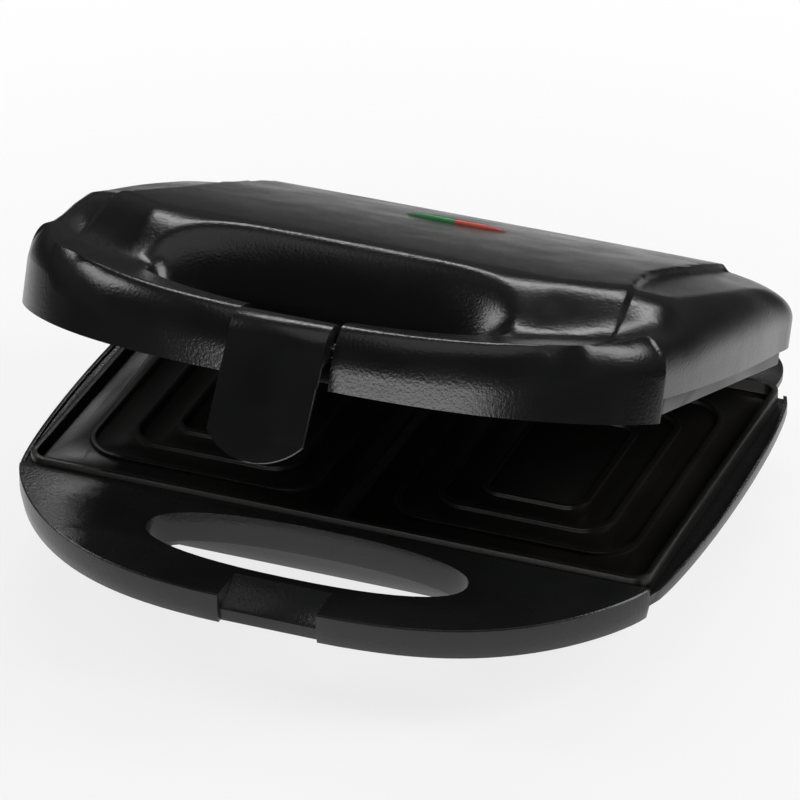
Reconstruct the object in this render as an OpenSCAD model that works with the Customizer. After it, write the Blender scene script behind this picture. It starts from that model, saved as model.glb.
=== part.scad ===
// Sandwich toaster: a two-slice plate toaster with a hinged lid, grip openings
// in both handles and a swinging latch clip on the front of the lid.
// Millimetres. Feet stand on z = 0, +X to the right, +Y to the back.
// The lid is drawn at its half open rest position.

/* [Plates] */
// Width of a cooking plate over its rim
plate_w = 235; // [215:1:255]
// Depth of a cooking plate over its rim
plate_d = 148; // [135:1:160]
// Height of the plate rim
plate_h = 6.6; // [5.5:0.1:7]
// Corner radius of the plate rim
plate_corner_r = 7; // [4:0.5:12]
// Width of the plate rim
plate_rim_w = 2.4; // [1.8:0.1:4]
// Thickness of the plate floor
plate_floor_t = 2; // [1.6:0.1:2.6]
// Height of the moulded ridges that mark the toast
ridge_h = 1.5; // [0.8:0.1:2]
// Width of a moulded ridge
ridge_w = 2.2; // [1.5:0.1:4]
// Gap between the two rims when the lid is shut
rim_gap = 0.3; // [0.2:0.1:1]

/* [Base] */
// Height of the parting plane above the table
parting_h = 40; // [36:1:46]
// Depth of the half-moon handle in front of the plates
handle_d = 58; // [50:1:66]
// Half width of the half-moon handle
handle_half_w = 119; // [110:0.5:128]
// Step from the parting plane down to the top of the base handle
handle_drop = 2.3; // [1.5:0.1:3.5]
// Height of the outer wall of the base handle
handle_wall_h = 11.7; // [9:0.1:14]
// Bulge of the side wings beyond the handle corners
wing_bulge = 6.5; // [3:0.5:10]
// Wall thickness of the base housing
base_wall = 2.5; // [2:0.1:3.5]
// Half width of the tub under the plates, at its top
tub_half_w = 108; // [98:1:110]
// How far the tub walls lean in from top to floor
tub_draft = 4; // [0:0.5:8]
// Corner radius of the tub
tub_corner_r = 24; // [12:1:34]
// Height of the rubber feet below the tub floor
foot_h = 4; // [2:0.5:8]
// Radius of a rubber foot
foot_r = 8; // [5:0.5:11]

/* [Lid] */
// Highest point of the lid above the parting plane
dome_h = 39.6; // [36:0.2:46]
// Fall of the lid top from its crown to its rear edge
dome_fall = 10.1; // [6:0.1:14]
// Height of the lid's handle bar at its middle
bar_h = 20.3; // [17:0.1:24]
// Lower edge of the lid's side walls above the parting plane
skirt_side_z = 6.8; // [6.7:0.1:9]
// Lower edge of the lid's front wall below the parting plane
skirt_front_drop = 1.7; // [0.5:0.1:1.9]
// Wall thickness of the lid housing
lid_wall = 2.2; // [1.6:0.1:2.8]
// Step down from the raised middle of the lid to its shoulders
shoulder_step = 2.2; // [1:0.1:5]
// Opening angle of the lid at rest
lid_rest = 20.5; // [0:0.5:45]

/* [Grip] */
// Half length of the finger openings
grip_half_l = 60; // [48:1:66]
// Half width of the finger openings
grip_half_w = 17; // [13:0.5:18]
// Centre line of the finger openings in front of the plates
grip_y = -22.7; // [-26:0.1:-21]

/* [Hinge] */
// Hinge axis behind the front edge of the plates
hinge_y = 173; // [168:0.5:185]
// Hinge axis above the parting plane
hinge_z = 10; // [8:0.5:13]
// Radius of the hinge pins
pin_r = 2.5; // [1.5:0.1:3]
// Radial running clearance of the hinge pins
pin_clear = 0.05; // [0.02:0.01:0.09]
// Thickness of each hinge ear on the base
ear_t = 5; // [3:0.5:6]
// Width of each hinge arm on the lid
arm_w = 13.4; // [9:0.2:16]
// Middle of each hinge from the centre line
hinge_x = 72; // [50:1:84]
// Side gap between arm and ear
hinge_gap = 0.3; // [0.2:0.1:0.6]

/* [Latch] */
// Width of the latch clip
latch_w = 35; // [25:1:45]
// Thickness of the latch clip
latch_t = 2.2; // [1.6:0.1:3]
// Length of the straight part of the clip below the pivot
latch_l = 36; // [34:0.5:38]
// Length of the flared finger lip
latch_lip_l = 8.6; // [5:0.1:10]
// Outward flare of the finger lip
latch_flare = 9; // [0:1:20]
// Swing of the clip at rest, outwards from square to the lid
latch_rest = 16; // [8:1:30]
// Side gap between the clip and its notch
latch_gap = 0.8; // [0.4:0.1:1.5]
// Radius of the latch pin
latch_pin_r = 1.5; // [1:0.1:2]

/* [Hidden] */

$fn = 48;
// overlap that lets a cut run past a face
over = 1;
// seat gap between curved faces of one body
seat = 0.1;
black = "#1c1c1e";
coating = "#2a2422";
steel = "#b9bcc0";
aluminium = "#cfd2d6";
rubber = "#2e2e30";

// ---- outlines ----
// power that keeps the sign of its base
function spow(v, e) = (v < 0 ? -1 : 1) * pow(abs(v), e);
function lerp(a, b, k) = a + (b - a) * k;
function clamp01(k) = min(max(k, 0), 1);
function ease(k) = let (c = clamp01(k)) c * c * (3 - 2 * c);
function mirror_x(p) = [for (i = [len(p) - 1:-1:0]) [-p[i][0], p[i][1]]];

// half-moon handle: superellipse exponents across and along
moon_nx = 3.07;
moon_ny = 1.228;
// y of the corner where the half-moon meets the side
corner_y = -1;
function moon(a, depth) = [handle_half_w * spow(sin(a), 2 / moon_nx),
    corner_y - depth * spow(max(cos(a), 0), 2 / moon_ny)];
moon_steps = 32;
function moon_half(depth) = [for (i = [0:moon_steps]) moon(90 * i / moon_steps, depth)];
function moon_outline(depth) = concat(mirror_x(moon_half(depth)),
    [for (i = [1:moon_steps]) moon_half(depth)[i]]);

module rounded_rect(w, d, r) {
    square([w - 2 * r, d], center = true);
    square([w, d - 2 * r], center = true);
    for (sx = [-1, 1], sy = [-1, 1]) translate([sx * (w / 2 - r), sy * (d / 2 - r)]) circle(r);
}

// closed solid through rings of equal point count, lowest ring first
module loft(rings) {
    n = len(rings[0]);
    m = len(rings);
    polyhedron(points = [for (r = rings) for (p = r) p],
        faces = concat([[for (i = [0:n - 1]) i]],
            [for (k = [0:m - 2]) for (i = [0:n - 1])
                [k * n + (i + 1) % n, k * n + i, (k + 1) * n + i, (k + 1) * n + (i + 1) % n]],
            [[for (i = [n - 1:-1:0]) (m - 1) * n + i]]));
}

// ring of a rounded rectangle at height z, counter-clockwise
corner_steps = 8;
function round_ring(half_w, y0, y1, r, z) = [for (q = [0:3]) for (i = [0:corner_steps])
    let (a = 90 * (q + i / corner_steps),
        cx = (q == 0 || q == 3 ? 1 : -1) * (half_w - r),
        cy = q < 2 ? y1 - r : y0 + r)
    [cx + r * cos(a), cy + r * sin(a), z]];
function at_z(outline, z) = [for (p = outline) [p[0], p[1], z]];

// finger opening: the same superellipse in both handles
grip_n = 2.3;
grip_steps = 48;
function grip_point(a, grow) = [(grip_half_l + grow) * spow(cos(a), 2 / grip_n),
    grip_y + (grip_half_w + grow) * spow(sin(a), 2 / grip_n)];
module grip_outline(grow) {
    polygon([for (i = [0:grip_steps - 1]) grip_point(360 * i / grip_steps, grow)]);
}

// ---- places ----
// plates: centre line and outer edges
plate_mid_y = plate_d / 2;
plate_back_z = plate_h;
plate_floor_z = plate_h - plate_floor_t;
// base: deck under the plate rim, tub and floor
deck_z = -plate_h;
deck_t = base_wall;
tub_floor_z = foot_h - parting_h;
tub_front_y = 6;
tub_rear_y = hinge_y + 3;
deck_rear_y = hinge_y + 12;
deck_half_w = tub_half_w + 4;
handle_top_z = -handle_drop;
handle_bottom_z = handle_top_z - handle_wall_h;
handle_back_y = -0.4;
// latch: pivot in the lid's own frame, shut
latch_y = -50.8;
latch_z = 12;
// how far the clip's outer face stands in front of its pivot
latch_reach = 12.6;
latch_notch_half = latch_w / 2 + latch_gap;
// front lip of the base notch, set back from the handle's front
lip_y = corner_y - handle_d + 3;
// screws that hold each plate by its two rear lugs
lug_x = 50;
lug_y = plate_d + 4;
lug_r = 4.5;
lug_t = 1.8;
screw_r = 1.6;
screw_hole_r = 1.8;
screw_head_r = 3.2;
screw_head_h = 2.2;
// tubular heating element under each plate
element_r = 3.2;
element_half_w = 78;
element_front_y = 24;
element_back_gap = 20;
element_rear_y = plate_d - element_back_gap;
element_bend_r = 18;
element_z = plate_back_z + element_r + seat;
// reflector tray on four bosses of the plate
tray_boss_r = 4;
tray_boss_h = 9;
tray_half_w = 94;
tray_y0 = 10;
tray_back_gap = 10;
tray_y1 = plate_d - tray_back_gap;
tray_t = 1;
tray_z = plate_back_z + tray_boss_h;
tray_boss_x = 86;
tray_boss_in = 10;
tray_boss_y = [tray_y0 + tray_boss_in, tray_y1 - tray_boss_in];

// latch lip tip in the lid frame at rest, for the middle of the whole toaster
function swing(p, a) = [p[0] * cos(a) + p[1] * sin(a), -p[0] * sin(a) + p[1] * cos(a)];
latch_tip_local = [-latch_reach - latch_lip_l * sin(latch_flare), -latch_l - latch_lip_l * cos(latch_flare)];
latch_tip_lid = [latch_y, latch_z] + swing(latch_tip_local, latch_rest);
latch_tip_y = hinge_y + swing(latch_tip_lid - [hinge_y, hinge_z], lid_rest)[0];
front_y = min(latch_tip_y, corner_y - handle_d);
centre_y = (front_y + deck_rear_y) / 2;

// frames: everything is drawn from the plates' front edge and the parting plane
module stand() { translate([0, -centre_y, parting_h]) children(); }
module lid_frame() {
    stand() translate([0, hinge_y, hinge_z]) rotate([-lid_rest, 0, 0])
        translate([0, -hinge_y, -hinge_z]) children();
}
module latch_frame() {
    lid_frame() translate([0, latch_y, latch_z]) rotate([-latch_rest, 0, 0]) children();
}
// profile in (y, z) drawn along x, centred
module along_x(w) { rotate([90, 0, 90]) translate([0, 0, -w / 2]) linear_extrude(w) children(); }

// ---- base ----
wing_power = 0.6;
function wing_x(y) = let (k = clamp01((y - corner_y) / (plate_d - corner_y)))
    handle_half_w + wing_bulge * pow(4 * k * (1 - k), wing_power);
wing_steps = 28;
wing_side = [for (i = [0:wing_steps]) let (y = lerp(corner_y, plate_d, i / wing_steps)) [wing_x(y), y]];
module wing_outline(shrink) {
    polygon(concat([for (p = wing_side) [p[0] - shrink, p[1]]],
        [for (p = mirror_x(wing_side)) [p[0] + shrink, p[1]]]));
}
module deck_outline() {
    translate([0, (tub_front_y + deck_rear_y) / 2])
        rounded_rect(2 * deck_half_w, deck_rear_y - tub_front_y, tub_corner_r);
}
function tub_ring(inset, z, drop) = round_ring(tub_half_w - inset - tub_draft * drop,
    tub_front_y + inset + tub_draft * drop, tub_rear_y - inset - tub_draft * drop,
    tub_corner_r - inset, z);
// lens-shaped wedge floor of the latch notch: slopes to a rounded front lip
notch_l = 12.5;
notch_drop = 5.6;
notch_round = 2;
notch_round_h = 1.8;
notch_clear = 10;
module notch_profile() {
    rear_y = lip_y + notch_l;
    polygon([[rear_y, handle_top_z], [lip_y + notch_round, handle_top_z - notch_drop],
        [lip_y, handle_top_z - notch_drop - notch_round_h], [lip_y, handle_bottom_z - over],
        [lip_y - notch_clear, handle_bottom_z - over], [lip_y - notch_clear, over], [rear_y, over]]);
}
// hollow half-moon handle, open underneath
lean = 1;
lean_h = 5;
edge_break = 0.5;
module handle_shell() {
    difference() {
        loft([at_z(handle_ring(lean), handle_bottom_z), at_z(handle_ring(0), handle_bottom_z + lean_h),
            at_z(handle_ring(0), handle_top_z - edge_break), at_z(handle_ring(edge_break), handle_top_z)]);
        translate([0, 0, handle_bottom_z - over])
            linear_extrude(handle_wall_h - base_wall + over) polygon(handle_cavity);
    }
}
function handle_ring(inset) = concat([for (p = moon_outline(handle_d))
        [p[0] * (1 - inset / handle_half_w), min(p[1] + inset * (corner_y - p[1]) / handle_d, corner_y)]],
    [[handle_half_w - inset, handle_back_y], [inset - handle_half_w, handle_back_y]]);
handle_cavity = concat([for (p = moon_outline(handle_d)) if (p[1] < corner_y - base_wall)
        [p[0] * (1 - (base_wall + lean) / handle_half_w),
            p[1] + (base_wall + lean) * (corner_y - p[1]) / handle_d]],
    [[handle_half_w - 2 * base_wall - lean, handle_back_y - base_wall],
        [2 * base_wall + lean - handle_half_w, handle_back_y - base_wall]]);

// floor vents
vent_l = 34;
vent_w = 3.2;
vent_pitch = 9;
vent_x = 42;
vent_mid_y = plate_mid_y + 12;
module floor_vents() {
    for (sx = [-1, 1], i = [-3:3])
        translate([sx * vent_x, vent_mid_y + i * vent_pitch, tub_floor_z - over])
            linear_extrude(base_wall + 2 * over) {
                square([vent_l - vent_w, vent_w], center = true);
                for (e = [-1, 1]) translate([e * (vent_l - vent_w) / 2, 0]) circle(vent_w / 2, $fn = 24);
            }
}
foot_x = 84;
foot_y = [tub_front_y + 16, tub_rear_y - 26];
foot_pin_r = 3;
module at_feet() {
    for (sx = [-1, 1], y = foot_y) translate([sx * foot_x, y, tub_floor_z]) children();
}
// hinge ear: a post with a round head at the axis
ear_r = 6.4;
ear_x = [hinge_x - arm_w / 2 - hinge_gap - ear_t / 2, hinge_x + arm_w / 2 + hinge_gap + ear_t / 2];
module at_ears() {
    for (sx = [-1, 1], x = ear_x) translate([sx * x, 0, 0]) children();
}
module hinge_ears() {
    at_ears() {
        translate([-ear_t / 2, hinge_y - ear_r, deck_z - deck_t])
            cube([ear_t, 2 * ear_r, hinge_z - deck_z + deck_t]);
        translate([-ear_t / 2, hinge_y, hinge_z]) rotate([0, 90, 0]) cylinder(h = ear_t, r = ear_r);
    }
}
// stop that the lid arm's heel meets when the lid stands open
heel_r = 11.5;
heel_t = 5;
stop_t = ear_r - heel_t / 2 - 1.5;
stop_top_z = hinge_z - 7.6;
module open_stops() {
    for (sx = [-1, 1]) translate([sx * hinge_x - arm_w / 2 - hinge_gap, hinge_y - ear_r, deck_z - deck_t])
        cube([arm_w + 2 * hinge_gap, stop_t, stop_top_z - deck_z + deck_t]);
}
// opening in the deck, round the reflector tray
opening_gap = 1.5;
// screws that join the tub to the frame from below, through posts
case_screw_at = [[98.2, 40], [66, 162]];
case_post_r = 3.5;
case_boss_h = 6;
module at_case_screws() {
    for (sx = [-1, 1], p = case_screw_at) translate([sx * p[0], p[1], 0]) children();
}
module at_lugs() {
    for (sx = [-1, 1]) translate([sx * lug_x, lug_y, 0]) children();
}
// cord inlet in the rear wall
gland_z = -22;
gland_hole_r = 6;
gland_bore_r = 3.6;
gland_flange_r = 9;
gland_flange_t = 2.5;
gland_pad_t = 5;
gland_pad_rim = 1.5;
// ribs under the handle, and bosses for the plate screws
rib_t = 2;
rib_depth = 6;
rib_l = 26;
rib_x = [76, 96];
plate_screw_boss_h = 12;
module handle_ribs() {
    for (sx = [-1, 1], x = rib_x) translate([sx * x - rib_t / 2, corner_y - rib_l, 0])
        intersection() {
            translate([0, 0, handle_top_z - base_wall - rib_depth]) cube([rib_t, rib_l, rib_depth + over]);
            translate([-sx * x + rib_t / 2, -corner_y + rib_l, handle_bottom_z])
                linear_extrude(handle_wall_h) polygon(handle_ring(base_wall));
        }
}
// deck with the side wings and their raised edge
wing_edge_w = 1.4;
wing_edge_h = 1.4;
module deck() {
    translate([0, 0, deck_z - deck_t]) linear_extrude(deck_t) {
        wing_outline(0);
        deck_outline();
    }
    translate([0, 0, deck_z - deck_t]) linear_extrude(deck_t + wing_edge_h) difference() {
        wing_outline(0);
        wing_outline(wing_edge_w);
    }
    translate([4 - handle_half_w, handle_back_y - base_wall, deck_z - deck_t])
        cube([2 * handle_half_w - 8, tub_front_y - handle_back_y + 2 * base_wall, deck_t]);
}
module handle() {
    handle_shell();
    handle_ribs();
    // wall round the finger opening
    translate([0, 0, handle_bottom_z]) linear_extrude(handle_wall_h) intersection() {
        grip_outline(base_wall);
        polygon(handle_ring(lean + 0.2));
    }
    // solid pad behind the latch lip
    translate([-latch_notch_half - base_wall, lip_y - 1, handle_bottom_z])
        cube([2 * (latch_notch_half + base_wall), grip_y - grip_half_w - lip_y, handle_wall_h - 1]);
}
module base_frame() {
    color(black) stand() difference() {
        union() {
            handle();
            deck();
            hinge_ears();
            open_stops();
            at_lugs() translate([0, 0, deck_z - plate_screw_boss_h])
                cylinder(h = plate_screw_boss_h, r = lug_r);
            at_case_screws() translate([0, 0, deck_z - deck_t - case_boss_h])
                cylinder(h = case_boss_h + over, r = case_post_r);
        }
        translate([0, (tray_y0 + tray_y1) / 2, deck_z - deck_t - over]) linear_extrude(deck_t + 2 * over)
            rounded_rect(2 * (tray_half_w + opening_gap), tray_y1 - tray_y0 + 2 * opening_gap, tray_corner_r);
        at_lugs() translate([0, 0, deck_z - plate_screw_boss_h - over])
            cylinder(h = plate_screw_boss_h + 2 * over, r = screw_hole_r);
        at_case_screws() translate([0, 0, deck_z - deck_t - case_boss_h - over])
            cylinder(h = case_boss_h + over, r = screw_hole_r);
        translate([0, 0, handle_bottom_z - over]) linear_extrude(handle_wall_h + 2 * over) grip_outline(0);
        along_x(2 * latch_notch_half) notch_profile();
        at_ears() translate([-ear_t, hinge_y, hinge_z]) rotate([0, 90, 0])
            cylinder(h = 2 * ear_t, r = pin_r + pin_clear);
    }
}
// open-topped tub under the frame
module base_tub() {
    tub_top_z = deck_z - deck_t;
    color(black) stand() difference() {
        union() {
            difference() {
                union() {
                    loft([tub_ring(0, tub_floor_z, 1), tub_ring(0, tub_top_z, 0)]);
                    // flat pad for the cord gland on the leaning rear wall
                    translate([0, tub_rear_y, gland_z]) rotate([90, 0, 0])
                        cylinder(h = gland_pad_t, r = gland_flange_r + gland_pad_rim);
                }
                loft([tub_ring(base_wall, tub_floor_z + base_wall, 1),
                    tub_ring(base_wall, tub_top_z + over, 0)]);
            }
            at_case_screws() translate([0, 0, tub_floor_z + over])
                cylinder(h = tub_top_z - case_boss_h - tub_floor_z - over, r = case_post_r);
        }
        at_case_screws() translate([0, 0, tub_floor_z - over]) cylinder(h = parting_h, r = screw_hole_r);
        floor_vents();
        at_feet() translate([0, 0, -over]) cylinder(h = base_wall + 2 * over, r = foot_pin_r + seat);
        translate([0, tub_rear_y + over, gland_z]) rotate([90, 0, 0])
            cylinder(h = base_wall + tub_draft + 3 * over, r = gland_hole_r + seat);
    }
}
case_screw_l = 23;
module base_screws() {
    color(steel) stand() at_case_screws() translate([0, 0, tub_floor_z]) rotate([180, 0, 0])
        screw(case_screw_l);
}

// ---- cooking plates, drawn for the lid: open face down, back up ----
ridge_rings = [[92, 116, 16], [66, 90, 12], [40, 64, 8]];
pocket_x = plate_w / 4;
divider_w = 6;
divider_crest = 1;
divider_top = rim_gap / 2 + 0.6;
root = 0.5;
module plate_casting() {
    difference() {
        union() {
            difference() {
                translate([0, plate_mid_y, rim_gap / 2]) linear_extrude(plate_h - rim_gap / 2)
                    rounded_rect(plate_w, plate_d, plate_corner_r);
                translate([0, plate_mid_y, -over]) linear_extrude(plate_floor_z + over)
                    rounded_rect(plate_w - 2 * plate_rim_w, plate_d - 2 * plate_rim_w,
                        plate_corner_r - plate_rim_w);
            }
            // concentric ridges that press the pattern into the toast
            for (sx = [-1, 1], r = ridge_rings)
                translate([sx * pocket_x, plate_mid_y, plate_floor_z - ridge_h])
                    linear_extrude(ridge_h + root) difference() {
                        rounded_rect(r[0], r[1], r[2]);
                        rounded_rect(r[0] - 2 * ridge_w, r[1] - 2 * ridge_w, r[2] - ridge_w);
                    }
            // divider between the two slices
            translate([0, plate_mid_y, 0]) rotate([90, 0, 0])
                translate([0, 0, -plate_mid_y + plate_rim_w / 2]) linear_extrude(plate_d - plate_rim_w)
                    polygon([[-divider_w / 2, plate_floor_z + root], [-divider_crest, divider_top],
                        [divider_crest, divider_top], [divider_w / 2, plate_floor_z + root]]);
            // tray bosses, rear screw lugs and front tabs on the back
            for (sx = [-1, 1], y = tray_boss_y) translate([sx * tray_boss_x, y, plate_back_z])
                cylinder(h = tray_boss_h, r = tray_boss_r);
            at_lugs() translate([0, 0, plate_back_z - lug_t]) linear_extrude(lug_t) {
                circle(lug_r);
                translate([-lug_r, plate_d - lug_y - over]) square([2 * lug_r, lug_y - plate_d + over]);
            }
        }
        at_lugs() translate([0, 0, plate_back_z - lug_t - over])
            cylinder(h = lug_t + 2 * over, r = screw_hole_r);
        for (sx = [-1, 1], y = tray_boss_y) translate([sx * tray_boss_x, y, plate_back_z + over])
            cylinder(h = tray_boss_h, r = screw_hole_r);
    }
}
// U-shaped tube with its cold ends
cold_pin_r = 1.5;
cold_pin_l = 7;
module element_tube() {
    leg_l = element_rear_y - element_front_y - element_bend_r;
    translate([0, 0, element_z]) {
        for (sx = [-1, 1]) {
            translate([sx * element_half_w, element_rear_y, 0]) rotate([90, 0, 0])
                cylinder(h = leg_l, r = element_r);
            translate([sx * element_half_w, element_rear_y + cold_pin_l, 0]) rotate([90, 0, 0])
                cylinder(h = cold_pin_l + over, r = cold_pin_r);
            translate([sx * (element_half_w - element_bend_r), element_front_y + element_bend_r, 0])
                rotate([0, 0, sx > 0 ? -90 : 180]) rotate_extrude(angle = 90)
                    translate([element_bend_r, 0]) circle(element_r);
        }
        translate([element_bend_r - element_half_w, element_front_y, 0]) rotate([0, 90, 0])
            cylinder(h = 2 * (element_half_w - element_bend_r), r = element_r);
    }
}
tray_wall_h = 7;
tray_corner_r = 16;
thermostat_y = 84;
module tray_area(shrink) {
    translate([0, (tray_y0 + tray_y1) / 2])
        rounded_rect(2 * (tray_half_w - shrink), tray_y1 - tray_y0 - 2 * shrink, tray_corner_r - shrink);
}
module reflector_tray() {
    difference() {
        translate([0, 0, tray_z - tray_wall_h]) linear_extrude(tray_wall_h + tray_t) tray_area(0);
        translate([0, 0, tray_z - tray_wall_h - over]) linear_extrude(tray_wall_h + over) tray_area(tray_t);
        for (sx = [-1, 1], y = tray_boss_y) translate([sx * tray_boss_x, y, tray_z - over])
            cylinder(h = tray_t + 2 * over, r = screw_hole_r);
    }
}
// screw with its head's seat at the origin and its shank pointing down
screw_crown_r = 0.7 * screw_head_r;
recess_w = 0.7;
recess_depth = 0.9;
module screw(shank_l) {
    translate([0, 0, -shank_l]) cylinder(h = shank_l + root, r = screw_r);
    difference() {
        union() {
            cylinder(h = screw_head_h / 2, r = screw_head_r);
            translate([0, 0, screw_head_h / 2])
                cylinder(h = screw_head_h / 2, r1 = screw_head_r, r2 = screw_crown_r);
        }
        for (a = [0, 90]) rotate([0, 0, a])
            translate([-screw_head_r / 2, -recess_w / 2, screw_head_h - recess_depth])
                cube([screw_head_r, recess_w, recess_depth + over]);
    }
}
tray_screw_l = 7;
lug_screw_l = 11;
module tray_screws() {
    for (sx = [-1, 1], y = tray_boss_y) translate([sx * tray_boss_x, y, tray_z + tray_t])
        screw(tray_screw_l);
}
module lug_screws() {
    at_lugs() translate([0, 0, plate_back_z - lug_t]) rotate([180, 0, 0]) screw(lug_screw_l);
}
// snap disc thermostat on the back of the plate
thermostat_r = 7;
thermostat_h = 6;
flange_t = 0.8;
flange_l = 30;
flange_w = 7;
blade_x = 3.4;
blade = [4.4, 0.8, 2.2];
module thermostat_body() {
    translate([0, thermostat_y, plate_back_z]) {
        linear_extrude(flange_t) {
            circle(thermostat_r + flange_t);
            square([flange_l, flange_w], center = true);
        }
        cylinder(h = thermostat_h, r = thermostat_r);
        for (sx = [-1, 1]) translate([sx * blade_x - blade[0] / 2, -blade[1] / 2, thermostat_h - root])
            cube(blade);
    }
}
module upside_down() { mirror([0, 0, 1]) children(); }

module lower_plate() { color(coating) stand() upside_down() plate_casting(); }
module lower_heating_element() { color(steel) stand() upside_down() element_tube(); }
module lower_reflector() { color(aluminium) stand() upside_down() reflector_tray(); }
module lower_reflector_screws() { color(steel) stand() upside_down() tray_screws(); }
module lower_thermostat() { color("#d9d2c3") stand() upside_down() thermostat_body(); }
module lower_plate_screws() { color(steel) stand() upside_down() lug_screws(); }
// fuse in its clamp beside the thermostat
fuse_r = 2;
fuse_l = 14;
fuse_x = 34;
fuse_lead_r = 0.6;
fuse_lead_l = 6;
module thermal_fuse() {
    color(steel) stand() upside_down() translate([fuse_x, thermostat_y, plate_back_z]) {
        translate([-fuse_l / 2, 0, fuse_r + seat]) rotate([0, 90, 0]) cylinder(h = fuse_l, r = fuse_r);
        for (sx = [-1, 1]) translate([sx * fuse_l / 2, 0, fuse_r + seat]) rotate([0, sx * 90, 0])
            translate([0, 0, -root]) cylinder(h = fuse_lead_l + root, r = fuse_lead_r);
    }
}
// three-way ceramic terminal block on the tub floor
block_l = 34;
block_w = 13;
block_h = 11;
block_at = [36, tub_rear_y - 24, tub_floor_z + base_wall];
way_pitch = 10.5;
way_r = 2;
way_z = 4;
clamp_r = 1.6;
clamp_z = 6.5;
module terminal_block() {
    color("#e6e2d8") stand() translate(block_at) difference() {
        translate([-block_l / 2, -block_w / 2, 0]) cube([block_l, block_w, block_h]);
        for (i = [-1:1]) translate([i * way_pitch, 0, 0]) {
            translate([0, -block_w / 2 - over, way_z]) rotate([-90, 0, 0])
                cylinder(h = block_w + 2 * over, r = way_r);
            translate([0, 0, clamp_z]) cylinder(h = block_h, r = clamp_r);
        }
    }
}
gland_l = gland_flange_t + base_wall + tub_draft * 0.75 + 2;
gland_collar_r = gland_hole_r + 1.2;
gland_collar_t = 1.6;
module cord_gland() {
    color(rubber) stand() translate([0, tub_rear_y + gland_flange_t, gland_z]) rotate([90, 0, 0])
        difference() {
            union() {
                cylinder(h = gland_flange_t, r = gland_flange_r);
                cylinder(h = gland_l, r = gland_hole_r);
                translate([0, 0, gland_l - gland_collar_t]) cylinder(h = gland_collar_t, r = gland_collar_r);
            }
            translate([0, 0, -over]) cylinder(h = gland_l + 2 * over, r = gland_bore_r);
        }
}
foot_edge = 0.8;
foot_barb_h = 1.6;
module rubber_feet() {
    color(rubber) stand() at_feet() {
        translate([0, 0, -foot_h]) cylinder(h = foot_edge, r1 = foot_r - foot_edge, r2 = foot_r);
        translate([0, 0, foot_edge - foot_h]) cylinder(h = foot_h - foot_edge, r = foot_r);
        translate([0, 0, -root]) cylinder(h = base_wall + 3 * root, r = foot_pin_r);
        translate([0, 0, base_wall]) cylinder(h = foot_barb_h, r1 = foot_pin_r + 1, r2 = foot_pin_r - 0.5);
    }
}
pin_head_r = 4.2;
pin_head_t = 1.4;
pin_end = 0.6;
module hinge_pins() {
    ears_w = ear_x[1] - ear_x[0] + ear_t;
    color(steel) stand() for (sx = [-1, 1]) mirror([sx < 0 ? 1 : 0, 0, 0])
        translate([ear_x[0] - ear_t / 2 - pin_end, hinge_y, hinge_z]) rotate([0, 90, 0]) {
            cylinder(h = ears_w + 1, r = pin_r);
            translate([0, 0, ears_w + pin_end]) cylinder(h = pin_head_t, r = pin_head_r);
        }
}

// ---- lid shell ----
// the section runs on rays from the finger opening out to the edge
lid_moon_d = 56.5;
rear_corner_y = 128;
rear_run = 37.5;
rear_nx = 3.4;
rear_ny = 4.4;
side_bulge = 3.6;
side_mid_y = 75;
// place along the half outline: 0 front middle, then both corners, 1 rear middle
t_corner = 0.45;
t_rear = 0.62;
function side_x(y) = handle_half_w + side_bulge * (1 - pow((y - side_mid_y) / (side_mid_y - corner_y), 2));
function rear_edge(a) = [side_x(rear_corner_y) * spow(max(cos(a), 0), 2 / rear_nx),
    rear_corner_y + rear_run * spow(sin(a), 2 / rear_ny)];
function side_edge(y) = [side_x(y), y];
function lid_edge(t) = t <= t_corner ? moon(90 * t / t_corner, lid_moon_d)
    : t <= t_rear ? side_edge(lerp(corner_y, rear_corner_y, (t - t_corner) / (t_rear - t_corner)))
    : rear_edge(90 * (t - t_rear) / (1 - t_rear));
function slot_edge(t) = grip_point(lookup(t, [[0, -90], [t_corner, 5], [t_rear, 28], [1, 90]]), 0);
// heights: the bar rises to its ends and ramps up to the roof, a shallow dome with lower shoulders
bar_rise = 6;
bar_end_x = 110;
corner_x = 100;
corner_rise = 0.2;
function bar_top(x) = bar_h + bar_rise * pow(x / bar_end_x, 2) + corner_rise * max(0, abs(x) - corner_x);
dome_run = 165;
function dome_top(y) = dome_h - dome_fall * pow(y / dome_run, 2);
// the ramp from the bar to the roof starts further back and is steeper beside the opening
ramp_x = 75;
ramp_front_y = -44;
ramp_setback = 20.7;
ramp_mid_run = 46;
ramp_end_run = 31;
function ramp_y(x) = ramp_front_y + ramp_setback * pow(x / ramp_x, 2);
function ramp_run(x) = lerp(ramp_mid_run, ramp_end_run, pow(min(1, abs(x) / ramp_x), 3));
// the crease that bounds the raised middle spreads towards the front
crease_rear_x = 88;
crease_spread = 10;
crease_spread_y = 75;
crease_spread_run = 85;
function crease_x(y) = crease_rear_x + crease_spread * ease((crease_spread_y - y) / crease_spread_run);
front_step = 0.8;
step_w = 2.5;
step_run = 50;
shoulder_slope = 0.09;
shoulder_run = 40;
function step_h(y) = lerp(front_step, shoulder_step, ease(y / step_run));
function lid_top(x, y) = let (d = max(abs(x) - crease_x(y), 0))
    lerp(bar_top(x), dome_top(y), ease((y - ramp_y(x)) / ramp_run(x)))
    - step_h(y) * ease(d / step_w) - shoulder_slope * d * ease(y / shoulder_run);
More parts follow.
